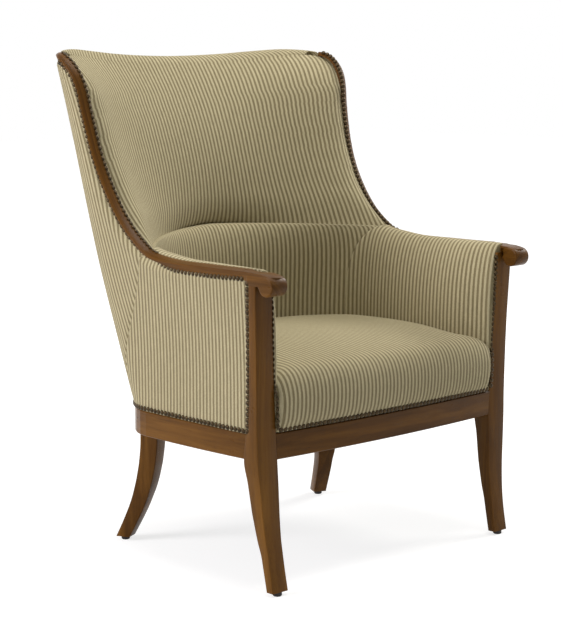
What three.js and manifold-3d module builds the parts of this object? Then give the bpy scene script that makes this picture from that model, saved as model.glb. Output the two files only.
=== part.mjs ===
import * as THREE from 'three';
import { mergeVertices } from 'three/addons/utils/BufferGeometryUtils.js';
import Module from 'manifold-3d';

// A barrel-backed fireside chair with a show-wood frame. Lengths are in millimetres, Z is up
// and the sitter faces -Y, so the sitter's left hand is on the +X side.

// Fits
const gap = 0.3;
const softGap = 0.6;
const overrun = 60;

// Seat frame, and the height that the back reaches at its sides
const tubTop = 1005;
const seatHalfWidth = 361;
const backRadius = 180;
const backCentre = 30;
const sideTuck = 11;
const sideTuckPower = 2.5;
const frontRailLine = -301;
const frontRailBow = 13;
const railBottom = 260;
const railShowHeight = 51;
const railRebate = 6.5;
const railRebateHeight = 15;
const railThickness = 30;
const railEase = 1.5;
const railJointAngle = Math.PI * 0.225;
const railShowTop = railBottom + railShowHeight;
const railTop = railShowTop + railRebateHeight;

// Front leg and arm post, one timber from the floor to the arm
const glideHeight = 8;
const glideDiameter = 18;
const postSetIn = 2;
const postWidth = 51.7;
const postOuter = seatHalfWidth - postSetIn;
const postInner = postOuter - postWidth;
const postFront = -301.5;
const postDepth = 40;
const postEase = 1.4;
const postHeadroom = 3;
const footDepth = 18;
const footInnerDraw = 3.8;
const footOuterDraw = 14.8;
const footKick = 25.5;
const postTopInnerDraw = 16;
const postTopOuterDraw = 10;
const postTopKick = 4.5;
const postBehindCover = 6;
// Height, inner draw, outer draw, forward kick and depth, each as a share of its size
const frontLegShares = [
  [0.03, 1, 1, 1, 0],
  [0.19, 0.75, 1, 0.7, 0.07],
  [0.3, 0.53, 0.97, 0.53, 0.16],
  [0.4, 0.34, 0.84, 0.38, 0.33],
  [0.51, 0.38, 0.68, 0.26, 0.45],
  [0.61, 0.4, 0.53, 0.18, 0.57],
  [0.83, 0.2, 0.24, 0.09, 0.8],
  [1, 0, 0, 0, 1],
];
// Height above the rail bottom, inner and outer draw, forward kick and cover set-back
const postShares = [
  [0.148, 0.17, 0.08, -0.2, 1],
  [0.55, 0.66, 0.35, 0.05, 1],
  [0.88, 0.97, 0.82, 0.7, 1],
  [1, 1, 1, 1, 1],
];

// Rear leg, turned to stand square to the curve of the back
const rearLegTurn = Math.PI * 26 / 180;
const rearLegSetIn = 104;
const rearLegX = seatHalfWidth - rearLegSetIn;
const rearLegSetBack = 107;
const rearLegY = backCentre + rearLegSetBack;
const rearLegWidth = 43;
const rearLegDepth = 39.5;
const rearFootWidth = 30;
const rearFootDepth = 31;
const rearKickX = 29;
const rearKickY = 59;
const rearLapThickness = 12;
// Height, kick in x, kick in y, width and depth, each as a share of its size
const rearLegShares = [
  [0.032, 1, 1, 0, 0],
  [0.135, 0.79, 0.79, 0.08, 0.18],
  [0.212, 0.64, 0.64, 0.15, 0.35],
  [0.29, 0.5, 0.5, 0.24, 0.47],
  [0.365, 0.38, 0.385, 0.35, 0.56],
  [0.44, 0.28, 0.28, 0.68, 0.64],
  [0.52, 0.19, 0.19, 0.82, 0.72],
  [0.6, 0.12, 0.12, 0.9, 0.78],
  [0.675, 0.065, 0.065, 0.96, 0.83],
  [0.83, 0, 0, 1, 0.95],
];

// Arm and wing rail
const armHeight = 624.5;
const armSetIn = 3.5;
const armCentreX = seatHalfWidth - armSetIn;
const armRailWidth = 24.5;
const armRailDepth = 20.5;
const wingRailWidth = 20.5;
const wingRailDepth = 11;
const armRailDip = 0.8;
const armRailRound = 3.5;
const armRailCrown = 0.8;
const wingStartY = -40;
const wingRun = 325;
const wingOverTop = 19.5;
const wingRise = tubTop + wingOverTop - armHeight;
const wingFlare = 28;
const armTurn = Math.PI * 9 / 180;
const wingTurn = Math.PI * 26 / 180;
const turnStartShare = 0.22;
const turnRunShare = 0.13;
const wingTipShare = 0.7;
// Run, rise and flare of the wing from the arm to its tip, as shares
const wingShares = [
  [0, 0, 0],
  [0.1785, 0.019, -0.06],
  [0.247, 0.049, -0.054],
  [0.367, 0.121, -0.03],
  [0.464, 0.204, 0.02],
  [0.543, 0.296, 0.064],
  [0.608, 0.391, 0.15],
  [0.66, 0.494, 0.28],
  [0.697, 0.599, 0.4],
  [0.7285, 0.706, 0.546],
  [0.754, 0.814, 0.707],
  [0.789, 0.884, 0.85],
  [0.85, 0.944, 0.97],
  [0.915, 0.98, 0.98],
  [0.96, 0.994, 0.85],
  [1, 1, 0.6],
];

// Knuckle at the front of the arm: a cross roll under a leaf-shaped lip
const knuckleReach = 11.9;
const knuckleOuterX = armCentreX + knuckleReach;
const knuckleWidth = 40;
const knuckleTopDrop = 2;
const knuckleBack = -291;
const rollRadius = 19.4;
const rollFront = -353.2;
const rollDrop = 25.4;
const lipTip = 5.6;
const lipTipDrop = 8.5;
const lipDip = 1;
const lipDipRun = 10;
const lipBack = -294;
const lipSlit = 2.6;
const lipSlitDepth = 7;
const coveDrop = 1.6;
const coveWidth = 5;

// Outside shape of the tub: half width and centre of its half ellipse at five heights, from
// the seat rail to the top
const tubSpread = 36;
const tubRake = 203;
const tubTopHalfWidth = seatHalfWidth + tubSpread;
const tubTopCentre = backCentre + tubRake;
const tubHeightShares = [0, 0.183, 0.431, 0.849, 1];
const tubWidthShares = [0, 0.056, 0.278, 0.639, 1];
const tubCentreShares = [0, 0.239, 0.517, 0.9, 1];
const coverThickness = 4;
const coverTuck = 4;
const outsideSeamTop = 36;
const outsideSeamRun = 66;

// Inside shape: the hollow between the arms and the back
const armPadReach = 80;
const backPadReach = 15;
const seatHollowHalfWidth = seatHalfWidth - armPadReach;
const seatHollowCentre = 40;
const seatHollowDepth = backRadius - backPadReach;
const armPadBottom = 388;
const padThickness = 28;
const padFootThickness = 13;
const armPadFlareStart = -190;
const armPadFlare = 26;
const armPadFront = -292;
const creaseRise = 26.5;
const creaseHeight = armHeight + creaseRise;
const creaseSetBack = 30;
const creaseEndLead = 6;
const creaseMiddleY = backCentre + backRadius + creaseSetBack;
const creaseEndY = backCentre - creaseEndLead;
const creasePower = 2.2;
const padRollPower = 3;
const seamFootShare = 0.21;
const seamTopShare = 0.12;
const backPadThickness = 23;
const backTopLead = 52;
const backTopDrop = 5;
const backTopY = tubTopCentre + backRadius - backTopLead;
const backTopZ = tubTop - backTopDrop;
const backTopPower = 1.27;
const topMiddleRise = 11;
const topMiddleZ = tubTop + topMiddleRise;
const topWingRise = 12;
const topRollDepth = 17;
const topTipTurnShare = 0.21;
// Lift of the rolled top edge from its side to its middle, and the outside cover's lift, as
// shares of the wing rise
const topPlaceShares = [0, 0.2, 0.38, 0.55, 0.7, 0.85, 1];
const topEdgeShares = [-1.4, -0.55, 0.13, 0.25, 0.15, 0.06, 0];
const outsideEdgeShares = [-0.2, 0.7, 1, 0.7, 0.35, 0.1, 0];

// Seat pad
const seatBottom = 331;
const seatContact = 437;
const seatFrontLine = -304;
const seatFrontBow = 13;

// Hidden frame
const blockHeight = 40;
const blockReach = 62;
const tackRailBottom = 346;
const tackRailHeight = 40;
const tackRailThickness = 20;
const tackRailLean = 8;
const uprightWidth = 44;
const uprightThickness = 19;
const uprightSetIn = 156;
const uprightX = seatHalfWidth - uprightSetIn;
const crestDrop = 100;
const crestBottom = tubTop - crestDrop;
const crestHeight = 56;
const crestSetIn = 26;
const crestReach = seatHalfWidth - crestSetIn;
const crestThickness = 20;
const frameInset = 1.8;
const webWidth = 50;
const webThickness = 1.5;
const webCountAcross = 4;
const webCountLong = 5;
const webOverlap = 16;
const dustCoverThickness = 1;
const dustCoverInset = 14;

const wasm = await Module();
wasm.setup();

const wood = new THREE.MeshStandardMaterial({ color: 0x6f4526, roughness: 0.4, metalness: 0 });
const beech = new THREE.MeshStandardMaterial({ color: 0xc9a877, roughness: 0.7, metalness: 0 });
const fabric = new THREE.MeshStandardMaterial({ color: 0xa2966f, roughness: 0.95, metalness: 0 });
const webbing = new THREE.MeshStandardMaterial({ color: 0x8a7350, roughness: 0.95, metalness: 0 });
const lining = new THREE.MeshStandardMaterial({ color: 0x1c1b1a, roughness: 0.95, metalness: 0 });
const glide = new THREE.MeshStandardMaterial({ color: 0x2b2422, roughness: 0.6, metalness: 0 });

const chair = new THREE.Group();

// Small helpers

function lerp(a, b, share) {
  return a + (b - a) * share;
}

function smooth(share) {
  const t = Math.min(1, Math.max(0, share));
  return t * t * (3 - 2 * t);
}

// Smooth interpolation through a short table of places and values
function through(places, values, at) {
  const last = places.length - 1;
  let i = 0;
  while (i < last - 1 && at > places[i + 1]) i += 1;
  const slope = (k) => {
    const a = Math.max(0, k - 1);
    const b = Math.min(last, k + 1);
    return (values[b] - values[a]) / (places[b] - places[a]);
  };
  const span = places[i + 1] - places[i];
  const t = Math.min(1, Math.max(0, (at - places[i]) / span));
  const t2 = t * t;
  const t3 = t2 * t;
  return values[i] * (2 * t3 - 3 * t2 + 1) + slope(i) * span * (t3 - 2 * t2 + t)
    + values[i + 1] * (3 * t2 - 2 * t3) + slope(i + 1) * span * (t3 - t2);
}

function signedVolume(points, faces) {
  let sum = 0;
  for (let i = 0; i < faces.length; i += 3) {
    const [a, b, c] = [points[faces[i]], points[faces[i + 1]], points[faces[i + 2]]];
    sum += a.dot(new THREE.Vector3().crossVectors(b, c));
  }
  return sum;
}

// Indexed geometry of a closed surface, turned so that its faces point out
function solidFrom(points, faces) {
  if (signedVolume(points, faces) < 0) {
    for (let i = 0; i < faces.length; i += 3) {
      [faces[i + 1], faces[i + 2]] = [faces[i + 2], faces[i + 1]];
    }
  }
  const geometry = new THREE.BufferGeometry();
  geometry.setAttribute('position', new THREE.Float32BufferAttribute(points.flatMap((p) => p.toArray()), 3));
  geometry.setIndex(faces);
  return geometry;
}

// Solid through a row of closed rings, its two ends fanned shut from their middles
function loft(rings) {
  const count = rings[0].length;
  const points = rings.flat();
  const faces = [];
  for (let r = 0; r < rings.length - 1; r += 1) {
    for (let i = 0; i < count; i += 1) {
      const a = r * count + i;
      const b = r * count + (i + 1) % count;
      faces.push(a, b, b + count, a, b + count, a + count);
    }
  }
  for (const [ring, flip] of [[0, true], [rings.length - 1, false]]) {
    const middle = new THREE.Vector3();
    for (const p of rings[ring]) middle.add(p);
    points.push(middle.divideScalar(count));
    for (let i = 0; i < count; i += 1) {
      const a = ring * count + i;
      const b = ring * count + (i + 1) % count;
      faces.push(points.length - 1, flip ? b : a, flip ? a : b);
    }
  }
  return solidFrom(points, faces);
}

// Solid between a front and a back sheet of points, both given as rows
function slab(front, back) {
  const rows = front.length;
  const columns = front[0].length;
  const points = [...front.flat(), ...back.flat()];
  const offset = rows * columns;
  const faces = [];
  for (let r = 0; r < rows - 1; r += 1) {
    for (let c = 0; c < columns - 1; c += 1) {
      const a = r * columns + c;
      const b = a + 1;
      const d = a + columns;
      faces.push(a, b, d + 1, a, d + 1, d);
      faces.push(offset + a, offset + d + 1, offset + b, offset + a, offset + d, offset + d + 1);
    }
  }
  const edge = [];
  for (let c = 0; c < columns - 1; c += 1) edge.push(c);
  for (let r = 0; r < rows - 1; r += 1) edge.push(r * columns + columns - 1);
  for (let c = columns - 1; c > 0; c -= 1) edge.push((rows - 1) * columns + c);
  for (let r = rows - 1; r > 0; r -= 1) edge.push(r * columns);
  edge.forEach((a, i) => {
    const b = edge[(i + 1) % edge.length];
    faces.push(b, a, offset + a, b, offset + a, offset + b);
  });
  return solidFrom(points, faces);
}

function grid(rows, columns, place) {
  return Array.from({ length: rows + 1 }, (_, r) => (
    Array.from({ length: columns + 1 }, (__, c) => place(c / columns, r / rows))));
}

function toManifold(geometry) {
  const bare = geometry.clone();
  for (const name of Object.keys(bare.attributes)) {
    if (name !== 'position') bare.deleteAttribute(name);
  }
  const merged = mergeVertices(bare);
  return new wasm.Manifold(new wasm.Mesh({
    numProp: 3,
    vertProperties: new Float32Array(merged.attributes.position.array),
    triVerts: new Uint32Array(merged.index.array),
  }));
}

function fromManifold(body) {
  const mesh = body.getMesh();
  const geometry = new THREE.BufferGeometry();
  geometry.setAttribute('position', new THREE.BufferAttribute(mesh.vertProperties, 3));
  geometry.setIndex(new THREE.BufferAttribute(mesh.triVerts, 1));
  return geometry;
}

// Cut a solid by its neighbours and keep the main body, without crumbs at the edges
function cut(geometry, tools) {
  let body = toManifold(geometry);
  for (const tool of tools) body = body.subtract(toManifold(tool));
  const bodies = body.decompose().sort((a, b) => b.volume() - a.volume());
  return fromManifold(bodies[0]);
}

function mirrored(geometry) {
  const twin = geometry.clone();
  twin.scale(-1, 1, 1);
  const index = twin.index.array;
  for (let i = 0; i < index.length; i += 3) {
    [index[i + 1], index[i + 2]] = [index[i + 2], index[i + 1]];
  }
  return twin;
}

function add(name, geometry, material) {
  geometry.computeVertexNormals();
  const mesh = new THREE.Mesh(geometry, material);
  mesh.name = name;
  chair.add(mesh);
}

function addPair(name, geometry, material) {
  add(`${name}_left`, geometry, material);
  add(`${name}_right`, mirrored(geometry), material);
}

// Outside surface of the tub. Share 0 is at the front post and 1 at the middle of the back.
const straightShare = 0.45;

function tubSize(z) {
  const at = (z - railShowTop) / (tubTop - railShowTop);
  return {
    halfWidth: lerp(seatHalfWidth, tubTopHalfWidth, through(tubHeightShares, tubWidthShares, at)),
    centre: lerp(backCentre, tubTopCentre, through(tubHeightShares, tubCentreShares, at)),
  };
}

function tubPoint(share, z, inset, frontY = postFront + postDepth - postBehindCover) {
  const { halfWidth, centre } = tubSize(z);
  if (share <= straightShare) {
    const y = lerp(frontY, centre, share / straightShare);
    const tuck = coverTuck * (1 - share / straightShare) ** sideTuckPower;
    return new THREE.Vector3(halfWidth - tuck - inset, y, z);
  }
  const angle = (share - straightShare) / (1 - straightShare) * Math.PI / 2;
  return new THREE.Vector3(
    (halfWidth - inset) * Math.cos(angle),
    centre + (backRadius - inset) * Math.sin(angle),
    z,
  );
}

function tubShareAt(y, z) {
  const front = tubPoint(0, z, 0).y;
  const { centre } = tubSize(z);
  if (y <= centre) return straightShare * (y - front) / (centre - front);
  return lerp(straightShare, 1, Math.asin((y - centre) / backRadius) / (Math.PI / 2));
}

// Arm and wing rail

const armFront = postFront + postDepth - postBehindCover;
const wingPath = new THREE.CatmullRomCurve3([
  new THREE.Vector3(armCentreX, armFront, armHeight),
  new THREE.Vector3(armCentreX, (armFront + wingStartY) / 2, armHeight - armRailDip),
  ...wingShares.map(([run, rise, flare]) => new THREE.Vector3(
    armCentreX + flare * wingFlare,
    wingStartY + run * wingRun,
    armHeight + rise * wingRise,
  )),
], false, 'centripetal');

// Place, direction, and the two directions of the section: across the face and into the body
function railFrame(share) {
  const place = wingPath.getPointAt(share);
  const along = wingPath.getTangentAt(share);
  const turn = lerp(armTurn, wingTurn, smooth((share - turnStartShare) / turnRunShare));
  const across = new THREE.Vector3(1, 0, 0);
  across.addScaledVector(along, -across.dot(along)).normalize();
  across.applyAxisAngle(along, turn);
  const deep = new THREE.Vector3().crossVectors(along, across);
  return { place, along, across, deep };
}

function railWidth(share) {
  const width = lerp(armRailWidth, wingRailWidth, smooth((share - turnStartShare) / turnRunShare));
  return width * lerp(1, wingTipShare, smooth((share - 0.93) / 0.07));
}

function railDepth(share) {
  return lerp(armRailDepth, wingRailDepth, smooth((share - turnStartShare) / turnRunShare));
}

function railPoint(share, acrossShare, deep) {
  const frame = railFrame(share);
  return frame.place.clone()
    .addScaledVector(frame.across, acrossShare * railWidth(share) / 2)
    .addScaledVector(frame.deep, deep);
}

// Half outline of the section from its lower inner corner over the crowned face
function railSection(share, grow) {
  const half = railWidth(share) / 2 + grow;
  const depth = railDepth(share) + grow;
  const round = armRailRound;
  return [
    [-half, depth],
    [-half, round - grow],
    [-half + round * 0.3, round * 0.3 - grow],
    [-half + round, -grow],
    [0, -armRailCrown - grow],
    [half - round, -grow],
    [half - round * 0.3, round * 0.3 - grow],
    [half, round - grow],
    [half, depth],
  ];
}

function wingSweep(grow, steps) {
  const rings = [];
  for (let i = 0; i <= steps; i += 1) {
    const share = i / steps;
    const frame = railFrame(share);
    const ends = i === 0 ? -overrun / 4 : (i === steps ? grow : 0);
    rings.push(railSection(share, grow).map(([across, deep]) => frame.place.clone()
      .addScaledVector(frame.along, ends)
      .addScaledVector(frame.across, across)
      .addScaledVector(frame.deep, deep)));
  }
  return loft(rings);
}

// Side outline of the knuckle, drawn with its first axis pointing back and its second up
function knuckleShape(grow) {
  const back = armFront + grow;
  const under = armHeight - armRailDepth - grow;
  const rollY = rollFront + rollRadius;
  const rollZ = armHeight - rollDrop;
  const tipY = rollFront + lipTip - grow;
  const tipZ = armHeight - lipTipDrop;
  const top = armHeight - knuckleTopDrop + grow;
  const shape = new THREE.Shape();
  shape.moveTo(back, under);
  shape.lineTo(back, top);
  shape.lineTo(lipBack, top);
  shape.quadraticCurveTo(lipBack - lipDipRun / 2, top, lipBack - lipDipRun, top - lipDip);
  shape.lineTo(lipBack - 2 * lipDipRun, top - lipDip);
  shape.quadraticCurveTo(rollY - lipTip, top - lipDip, tipY, tipZ + grow);
  if (grow === 0) {
    shape.lineTo(tipY + lipSlitDepth, tipZ - lipSlit / 2);
  }
  shape.absarc(rollY, rollZ, rollRadius + grow, Math.PI * 0.745, Math.PI * 1.9, false);
  const postLine = postFront - postTopKick - gap;
  const coveTop = rollZ - coveDrop - grow;
  shape.quadraticCurveTo(postLine - 2 * coveWidth + lipSlit / 2, coveTop, postLine - coveWidth, coveTop);
  shape.lineTo(postLine, coveTop);
  shape.lineTo(postLine, under);
  return shape;
}

function knuckle(grow) {
  const block = new THREE.ExtrudeGeometry(knuckleShape(grow), {
    depth: knuckleWidth + 2 * grow, bevelEnabled: false, curveSegments: 7,
  });
  // The outline's axes become Y and Z, and the extrusion runs along X
  const basis = new THREE.Matrix4().makeBasis(
    new THREE.Vector3(0, 1, 0),
    new THREE.Vector3(0, 0, 1),
    new THREE.Vector3(1, 0, 0),
  );
  block.applyMatrix4(basis);
  block.translate(knuckleOuterX - knuckleWidth - grow, 0, 0);
  // Behind the roll the block is as narrow as the arm, so that the cover comes up to its side
  const width = knuckleWidth - armRailWidth - (knuckleOuterX - armCentreX - armRailWidth / 2);
  const side = new THREE.BoxGeometry(width + overrun, overrun, overrun * 2);
  side.translate(armCentreX - armRailWidth / 2 - grow - (width + overrun) / 2,
    knuckleBack + grow + overrun / 2, armHeight);
  return cut(block, [side]);
}

function armRail(grow, steps) {
  return fromManifold(toManifold(wingSweep(grow, steps)).add(toManifold(knuckle(grow))));
}

// Front leg and post

function easedRectangle(x0, x1, y0, y1, z, ease, grow) {
  const [a, b, c, d] = [x0 - grow, x1 + grow, y0 - grow, y1 + grow];
  return [
    [a + ease, c], [b - ease, c], [b, c + ease], [b, d - ease],
    [b - ease, d], [a + ease, d], [a, d - ease], [a, c + ease],
  ].map(([x, y]) => new THREE.Vector3(x, y, z));
}

function frontLeg(grow) {
  const rings = frontLegShares.map(([height, inner, outer, kick, depth], i) => {
    const y = postFront - kick * footKick;
    const z = i === 0 ? glideHeight + gap : height * railBottom;
    return easedRectangle(
      postInner - inner * footInnerDraw,
      postOuter - outer * footOuterDraw,
      y,
      y + lerp(footDepth, postDepth, depth),
      z - (i === 0 ? grow : 0),
      postEase,
      grow,
    );
  });
  const top = armHeight - armRailDepth + postHeadroom;
  for (const [height, inner, outer, kick, setBack] of postShares) {
    rings.push(easedRectangle(
      postInner + inner * postTopInnerDraw,
      postOuter + outer * postTopOuterDraw,
      postFront - kick * postTopKick,
      postFront + postDepth - setBack * postBehindCover,
      lerp(railBottom, top, height) + (height === 1 ? grow : 0),
      postEase,
      grow,
    ));
  }
  return loft(rings);
}

function footGlide(x, y) {
  const r = glideDiameter / 2;
  const ease = glideHeight / 5;
  const outline = [
    [0, 0], [r - ease, 0], [r, ease], [r, glideHeight], [0, glideHeight],
  ].map(([radius, z]) => new THREE.Vector2(radius, z));
  const disc = new THREE.LatheGeometry(outline, 20);
  disc.rotateX(Math.PI / 2);
  disc.translate(x, y, 0);
  return mergeVertices(stripped(disc));
}

function stripped(geometry) {
  geometry.deleteAttribute('normal');
  geometry.deleteAttribute('uv');
  return geometry;
}

// Rear leg

const rearAcross = new THREE.Vector3(Math.cos(rearLegTurn), -Math.sin(rearLegTurn), 0);
const rearOut = new THREE.Vector3(Math.sin(rearLegTurn), Math.cos(rearLegTurn), 0);

function rearSection(x, y, z, width, inner, outer, ease, grow) {
  const centre = new THREE.Vector3(x, y, z);
  return easedRectangle(-width / 2, width / 2, inner, outer, 0, ease, grow).map((p) => centre.clone()
    .addScaledVector(rearAcross, p.x)
    .addScaledVector(rearOut, p.y));
}

function rearLeg(grow) {
  const rings = rearLegShares.map(([height, kickX, kickY, width, depth], i) => {
    const half = lerp(rearFootDepth, rearLegDepth, depth) / 2;
    const z = i === 0 ? glideHeight + gap - grow : height * railBottom;
    return rearSection(
      rearLegX + kickX * rearKickX,
      rearLegY + kickY * rearKickY,
      z,
      lerp(rearFootWidth, rearLegWidth, width),
      -half,
      half,
      postEase,
      grow,
    );
  });
  const half = rearLegDepth / 2;
  const shoulder = railBottom - gap + grow;
  const lap = -half + rearLapThickness;
  rings.push(rearSection(rearLegX, rearLegY, shoulder, rearLegWidth, -half, half, postEase, grow));
  rings.push(rearSection(rearLegX, rearLegY, shoulder, rearLegWidth, -half, lap, postEase, grow));
  rings.push(rearSection(rearLegX, rearLegY, railTop - gap + grow, rearLegWidth, -half, lap, postEase, grow));
  return loft(rings);
}

// Seat rails: one section carried along the plan of the seat frame

function railProfile(grow) {
  const t = railThickness;
  return [
    [-grow, railBottom + railEase - grow],
    [railEase - grow, railBottom - grow],
    [t + grow, railBottom - grow],
    [t + grow, railTop + grow],
    [railRebate - grow, railTop + grow],
    [railRebate - grow, railShowTop + grow],
    [railEase - grow, railShowTop + grow],
    [-grow, railShowTop - railEase + grow],
  ];
}

function sideRailPlace(share) {
  const y = lerp(armFront - overrun / 2, backCentre, share);
  const back = Math.max(0, (backCentre - y) / (backCentre - armFront));
  return { x: seatHalfWidth - sideTuck * back ** sideTuckPower, y, nx: 1, ny: 0 };
}

function backRailPlace(angle) {
  const nx = Math.cos(angle) / seatHalfWidth;
  const ny = Math.sin(angle) / backRadius;
  const size = Math.hypot(nx, ny);
  return {
    x: seatHalfWidth * Math.cos(angle),
    y: backCentre + backRadius * Math.sin(angle),
    nx: nx / size,
    ny: ny / size,
  };
}

function frontRailPlace(share) {
  const reach = postInner + postEase * 3;
  const x = lerp(-reach, reach, share);
  const slope = 2 * frontRailBow * x / postInner ** 2;
  const size = Math.hypot(slope, 1);
  const bow = frontRailBow * (1 - (x / postInner) ** 2);
  return { x, y: frontRailLine - bow, nx: slope / size, ny: -1 / size };
}

function railAlong(places, grow) {
  return loft(places.map((at) => railProfile(grow).map(([inset, z]) => (
    new THREE.Vector3(at.x - at.nx * inset, at.y - at.ny * inset, z)))));
}

const jointTurn = gap / 2 / backRadius;

function sideRail(grow) {
  const places = [];
  for (let i = 0; i <= 9; i += 1) places.push(sideRailPlace(i / 9));
  for (let i = 1; i <= 6; i += 1) places.push(backRailPlace((railJointAngle - jointTurn) * i / 6));
  return railAlong(places, grow);
}

function backRail(grow) {
  const places = [];
  const steps = 18;
  const first = railJointAngle + jointTurn;
  for (let i = 0; i <= steps; i += 1) {
    places.push(backRailPlace(lerp(first, Math.PI - first, i / steps)));
  }
  return railAlong(places, grow);
}

function frontRail(grow) {
  const steps = 14;
  const places = [];
  for (let i = 0; i <= steps; i += 1) places.push(frontRailPlace(i / steps));
  return railAlong(places.reverse(), grow);
}

// Straight block with a plan outline
function prism(outline, bottom, top) {
  return loft([bottom, top].map((z) => outline.map(([x, y]) => new THREE.Vector3(x, y, z))));
}

function frontBlock() {
  const x = postInner + railRebate;
  const y = frontRailLine + railThickness / 2;
  return prism(
    [[x, y], [x, y + blockReach + railThickness], [x - railThickness, y + blockReach + railThickness],
      [x - blockReach - railThickness, y + railThickness], [x - blockReach - railThickness, y]],
    railTop - gap - blockHeight - railThickness / 2,
    railTop - railThickness / 2,
  );
}

function rearBlock() {
  const inner = -rearLegDepth / 2;
  const middle = new THREE.Vector3(rearLegX, rearLegY, 0);
  const outline = [
    [blockReach * 0.75, inner - gap], [rearLegWidth / 2, inner - railThickness],
    [-rearLegWidth / 2, inner - railThickness], [-blockReach * 0.75, inner - gap],
  ].map(([across, out]) => middle.clone()
    .addScaledVector(rearAcross, across)
    .addScaledVector(rearOut, out))
    .map((p) => [p.x, p.y]);
  return prism(
    outline,
    railTop - gap - blockHeight - railThickness / 2,
    railTop - railThickness / 2,
  );
}

// Inside surfaces. Share 0 is at the front post and 1 at the middle of the back.

const hollowStraight = 0.5;

function hollowPlan(share, out) {
  if (share <= hollowStraight) {
    const y = lerp(armPadFront, seatHollowCentre, share / hollowStraight);
    const flare = Math.max(0, (armPadFlareStart - y) / (armPadFlareStart - armPadFront));
    return [seatHollowHalfWidth + armPadFlare * flare ** 2 + out, y];
  }
  const angle = (share - hollowStraight) / (1 - hollowStraight) * Math.PI / 2;
  return [
    (seatHollowHalfWidth + out) * Math.cos(angle),
    seatHollowCentre + (seatHollowDepth + out) * Math.sin(angle),
  ];
}

const creaseRailShare = railShareAtY(creaseEndY);

function railShareAtY(y) {
  let low = 0;
  let high = 1;
  for (let i = 0; i < 40; i += 1) {
    const middle = (low + high) / 2;
    if (wingPath.getPointAt(middle).y < y) low = middle;
    else high = middle;
  }
  return low;
}

function creasePoint(angle, deep) {
  const end = railPoint(creaseRailShare, -1, 0);
  const sx = Math.cos(angle);
  const sy = Math.sin(angle) ** creasePower;
  return new THREE.Vector3(
    (end.x - softGap) * sx,
    lerp(end.y, creaseMiddleY, sy),
    lerp(creaseHeight, end.z - softGap, sx) - deep,
  );
}

// Where the arm and lumbar covers end above: on the rail along the arm, then in the crease
function upperLine(share, deep) {
  if (share < hollowStraight) {
    const y = lerp(armPadFront, creaseEndY, share / hollowStraight);
    const rail = railPoint(railShareAtY(Math.max(y, armFront)), -1, deep);
    return new THREE.Vector3(rail.x - softGap, y, rail.z);
  }
  return creasePoint((share - hollowStraight) / (1 - hollowStraight) * Math.PI / 2, deep);
}

// Point of the arm and lumbar surface: upright below, rolling out to the upper line above
function lowerInside(share, height, out, deep) {
  const [x, y] = hollowPlan(share, out);
  const top = upperLine(share, deep);
  const angle = height * Math.PI / 2;
  const lean = 1 - Math.max(0, Math.cos(angle)) ** (2 / padRollPower);
  const rise = Math.sin(angle) ** (2 / padRollPower);
  return new THREE.Vector3(
    lerp(x, top.x, lean),
    lerp(y, top.y, lean),
    lerp(armPadBottom, top.z, rise),
  );
}

function seamShare(height) {
  return lerp(hollowStraight, 1, lerp(seamFootShare, seamTopShare, smooth(height) ** 2));
}

function insideArm(grow) {
  const split = (softGap / 2 - grow) / backRadius;
  const place = (out, deep) => (u, v) => lowerInside(u * (seamShare(v) - split), v, out, deep);
  return slab(
    grid(10, 12, place(-grow * 4, -grow * 4)),
    grid(10, 12, place(padFootThickness + grow * 4, padThickness + grow * 4)),
  );
}

function lumbarPad() {
  const place = (out, deep) => (u, v) => {
    const mid = 1 - Math.abs(2 * u - 1);
    const p = lowerInside(lerp(seamShare(v) - softGap / backRadius, 1, mid), v, out, deep);
    if (u > 0.5) p.x = -p.x;
    return p;
  };
  return slab(
    grid(10, 24, place(0, 0)),
    grid(10, 24, place(padFootThickness, padThickness)),
  );
}

// Upper part of the inside back, from the crease to the rolled top edge
function backFace(share, height, deep) {
  const railShare = lerp(creaseRailShare, 1, height * 0.97);
  const rail = railFrame(railShare);
  const side = rail.place.clone()
    .addScaledVector(rail.across, -railWidth(railShare) / 2 - softGap)
    .addScaledVector(rail.deep, deep);
  const angle = share * Math.PI / 2;
  const sx = Math.cos(angle);
  const sy = Math.sin(angle) ** lerp(creasePower, backTopPower, height ** 0.5);
  const middleZ = lerp(creaseHeight + softGap, backTopZ, height);
  const middleY = lerp(creaseMiddleY, backTopY, height) + deep;
  const edge = through(topPlaceShares, topEdgeShares, share);
  const lift = edge * topWingRise * smooth((height - 0.5) * 2);
  return new THREE.Vector3(
    side.x * sx,
    lerp(side.y, middleY, sy),
    lerp(side.z, middleZ, lerp(1 - sx, sy, height ** 0.5)) + lift,
  );
}

// Hind edge of the top, just inside the outside cover
function topHind(share) {
  const { z } = backFace(share, 1, 0);
  const { halfWidth, centre } = tubSize(z);
  const inset = coverThickness + softGap;
  const angle = lerp(topTipTurnShare, 1, share) * Math.PI / 2;
  return new THREE.Vector3(
    (halfWidth - inset) * Math.cos(angle),
    centre + (backRadius - inset) * Math.sin(angle),
    z,
  );
}

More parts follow.
